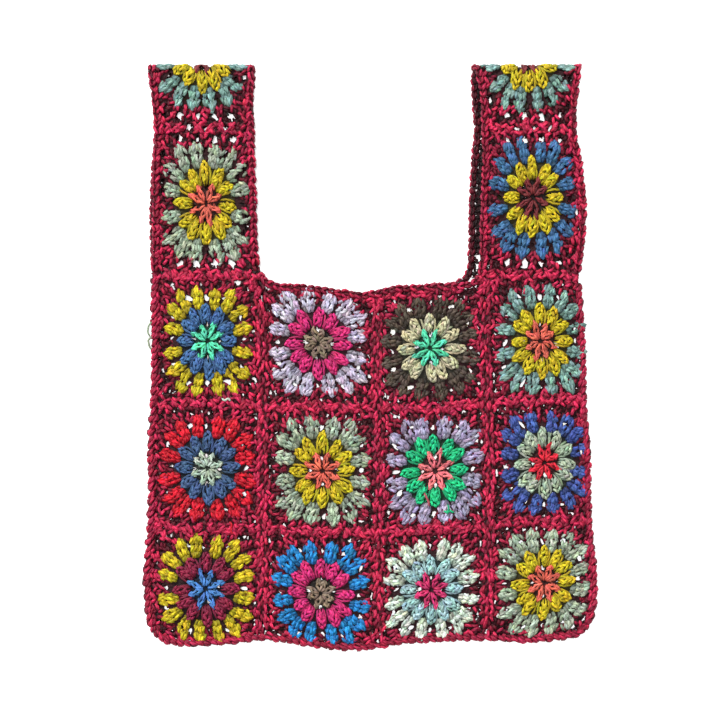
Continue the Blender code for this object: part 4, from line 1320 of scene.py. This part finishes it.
for layer in ("front", "back"):
    strands = Strands(375 + (layer == "back"), layer == "back")
    for middle, half, count in CORNERS:
        for n in range(count):
            turn, reach = strands.random.uniform(0, 2 * math.pi), math.sqrt(strands.random.random())
            at = np.array(middle) + np.array(half) * reach * (math.cos(turn), math.sin(turn))
            turn = strands.random.normal(math.pi / 2, 0.7)
            strands.stitch(at, turn, -1.4, strands.random.choice(STITCH_HEIGHTS) - 0.4)
    line = np.array(MOUTH_LINE[layer])
    for x in np.arange(-88.0, 84.0, MOUTH_STITCH):
        y = float(np.interp(x, line[:, 0], line[:, 1]))
        lean = strands.random.normal(0, 2.2)
        ends = (x - lean, y - 8.0), (x + lean, y - 0.5)
        strands.arc(*ends, -1.0, strands.random.uniform(-0.6, 0.8), "crimson", radius=THICK)
    fill = knit(f"mouth_stitches_{layer}", strands, lambda x, y: on_layer(layer, x, y))

# Some ends of yarn were left hanging when the colours were changed. They lie loose on the
# front, and some wisps of a paler yarn stick out at the left side seam.
LOOSE_ENDS = (
    # yarn, then places along the end as x and y
    ("red", ((-126.5, -147.0), (-124.0, -151.0), (-125.5, -156.0), (-122.0, -160.0))),
    ("emerald", ((69.5, -131.0), (71.0, -136.0), (69.0, -141.0), (70.5, -147.0))),
    ("emerald", ((66.0, -138.0), (69.0, -139.0), (73.0, -138.0), (76.0, -140.0))),
    ("pink", ((48.0, -120.0), (50.0, -124.5), (52.5, -129.0), (53.5, -135.0))),
    ("ivory", ((-134.0, -36.0), (-130.5, -39.0), (-127.5, -36.5), (-125.0, -40.0))),
    ("sage", ((-196.0, 33.0), (-199.5, 29.0), (-200.5, 23.0), (-198.0, 18.0))),
    ("sage", ((-195.5, 20.0), (-200.0, 16.0), (-199.0, 10.0), (-196.0, 6.0))),
)
strands = Strands(380)
for yarn, places in LOOSE_ENDS:
    places = np.array(places)
    at = np.linspace(0, len(places) - 1, 9)
    x, y = (np.interp(at, np.arange(len(places)), places[:, i]) for i in (0, 1))
    strands.add(x, y, 1.9 + 0.5 * np.sin(at * 2), yarn, radius=1.25)
ends = knit("loose_yarn_ends", strands, lambda x, y: on_layer("front", x, y))

# The scene is a plain pale floor under soft studio light, seen from straight above. The
# floor glows a little, as a light table does, so that light shows through the gaps.
floor_mesh = bpy.data.meshes.new("floor")
floor_mesh.from_pydata([(-3, -3, 0), (3, -3, 0), (3, 3, 0), (-3, 3, 0)], [], [(0, 1, 2, 3)])
floor = placed("floor", floor_mesh)
floor.location.z = -0.0001
paper = Finish("pale_floor")
paper.shade(Base_Color=(0.93, 0.93, 0.93, 1.0), Roughness=0.9)
paper.shade(Emission_Color=(1.0, 1.0, 1.0, 1.0), Emission_Strength=0.55)
floor_mesh.materials.append(paper.material)

CAMERA_HEIGHT = 3.0
MM_PER_PIXEL = 0.9
PHOTO_SIZE, BAG_PIXEL = 720, (370, 357.5)
PHOTO_MIDDLE = (
    (PHOTO_SIZE / 2 - BAG_PIXEL[0]) * MM_PER_PIXEL, (BAG_PIXEL[1] - PHOTO_SIZE / 2) * MM_PER_PIXEL,
)
SENSOR = 36.0
lens_camera = bpy.data.cameras.new("camera")
lens_camera.sensor_width = SENSOR
lens_camera.lens = SENSOR * CAMERA_HEIGHT / (PHOTO_SIZE * MM_PER_PIXEL * MM)
camera = placed("camera", lens_camera)
camera.location = (PHOTO_MIDDLE[0] * MM, PHOTO_MIDDLE[1] * MM, CAMERA_HEIGHT + FRONT_MIDDLE * MM)
bpy.context.scene.camera = camera

world = bpy.data.worlds.new("studio")
world.use_nodes = True
world.node_tree.nodes["Background"].inputs["Color"].default_value = (1, 1, 1, 1)
world.node_tree.nodes["Background"].inputs["Strength"].default_value = 0.15
bpy.context.scene.world = world
bpy.context.scene.view_settings.view_transform = "Standard"

STUDIO_LIGHTS = (
    # name, strength, softness and lean from overhead to the top and to the left, in degrees
    ("overhead_light", 1.75, 5, 3, 2), ("window_light", 2.75, 9, 42, 36),
)
for name, strength, soft, up, left in STUDIO_LIGHTS:
    light = bpy.data.lights.new(name, "SUN")
    light.energy = strength
    light.angle = math.radians(soft)
    lamp = placed(name, light)
    lamp.rotation_euler = (math.radians(-up), math.radians(-left), 0)
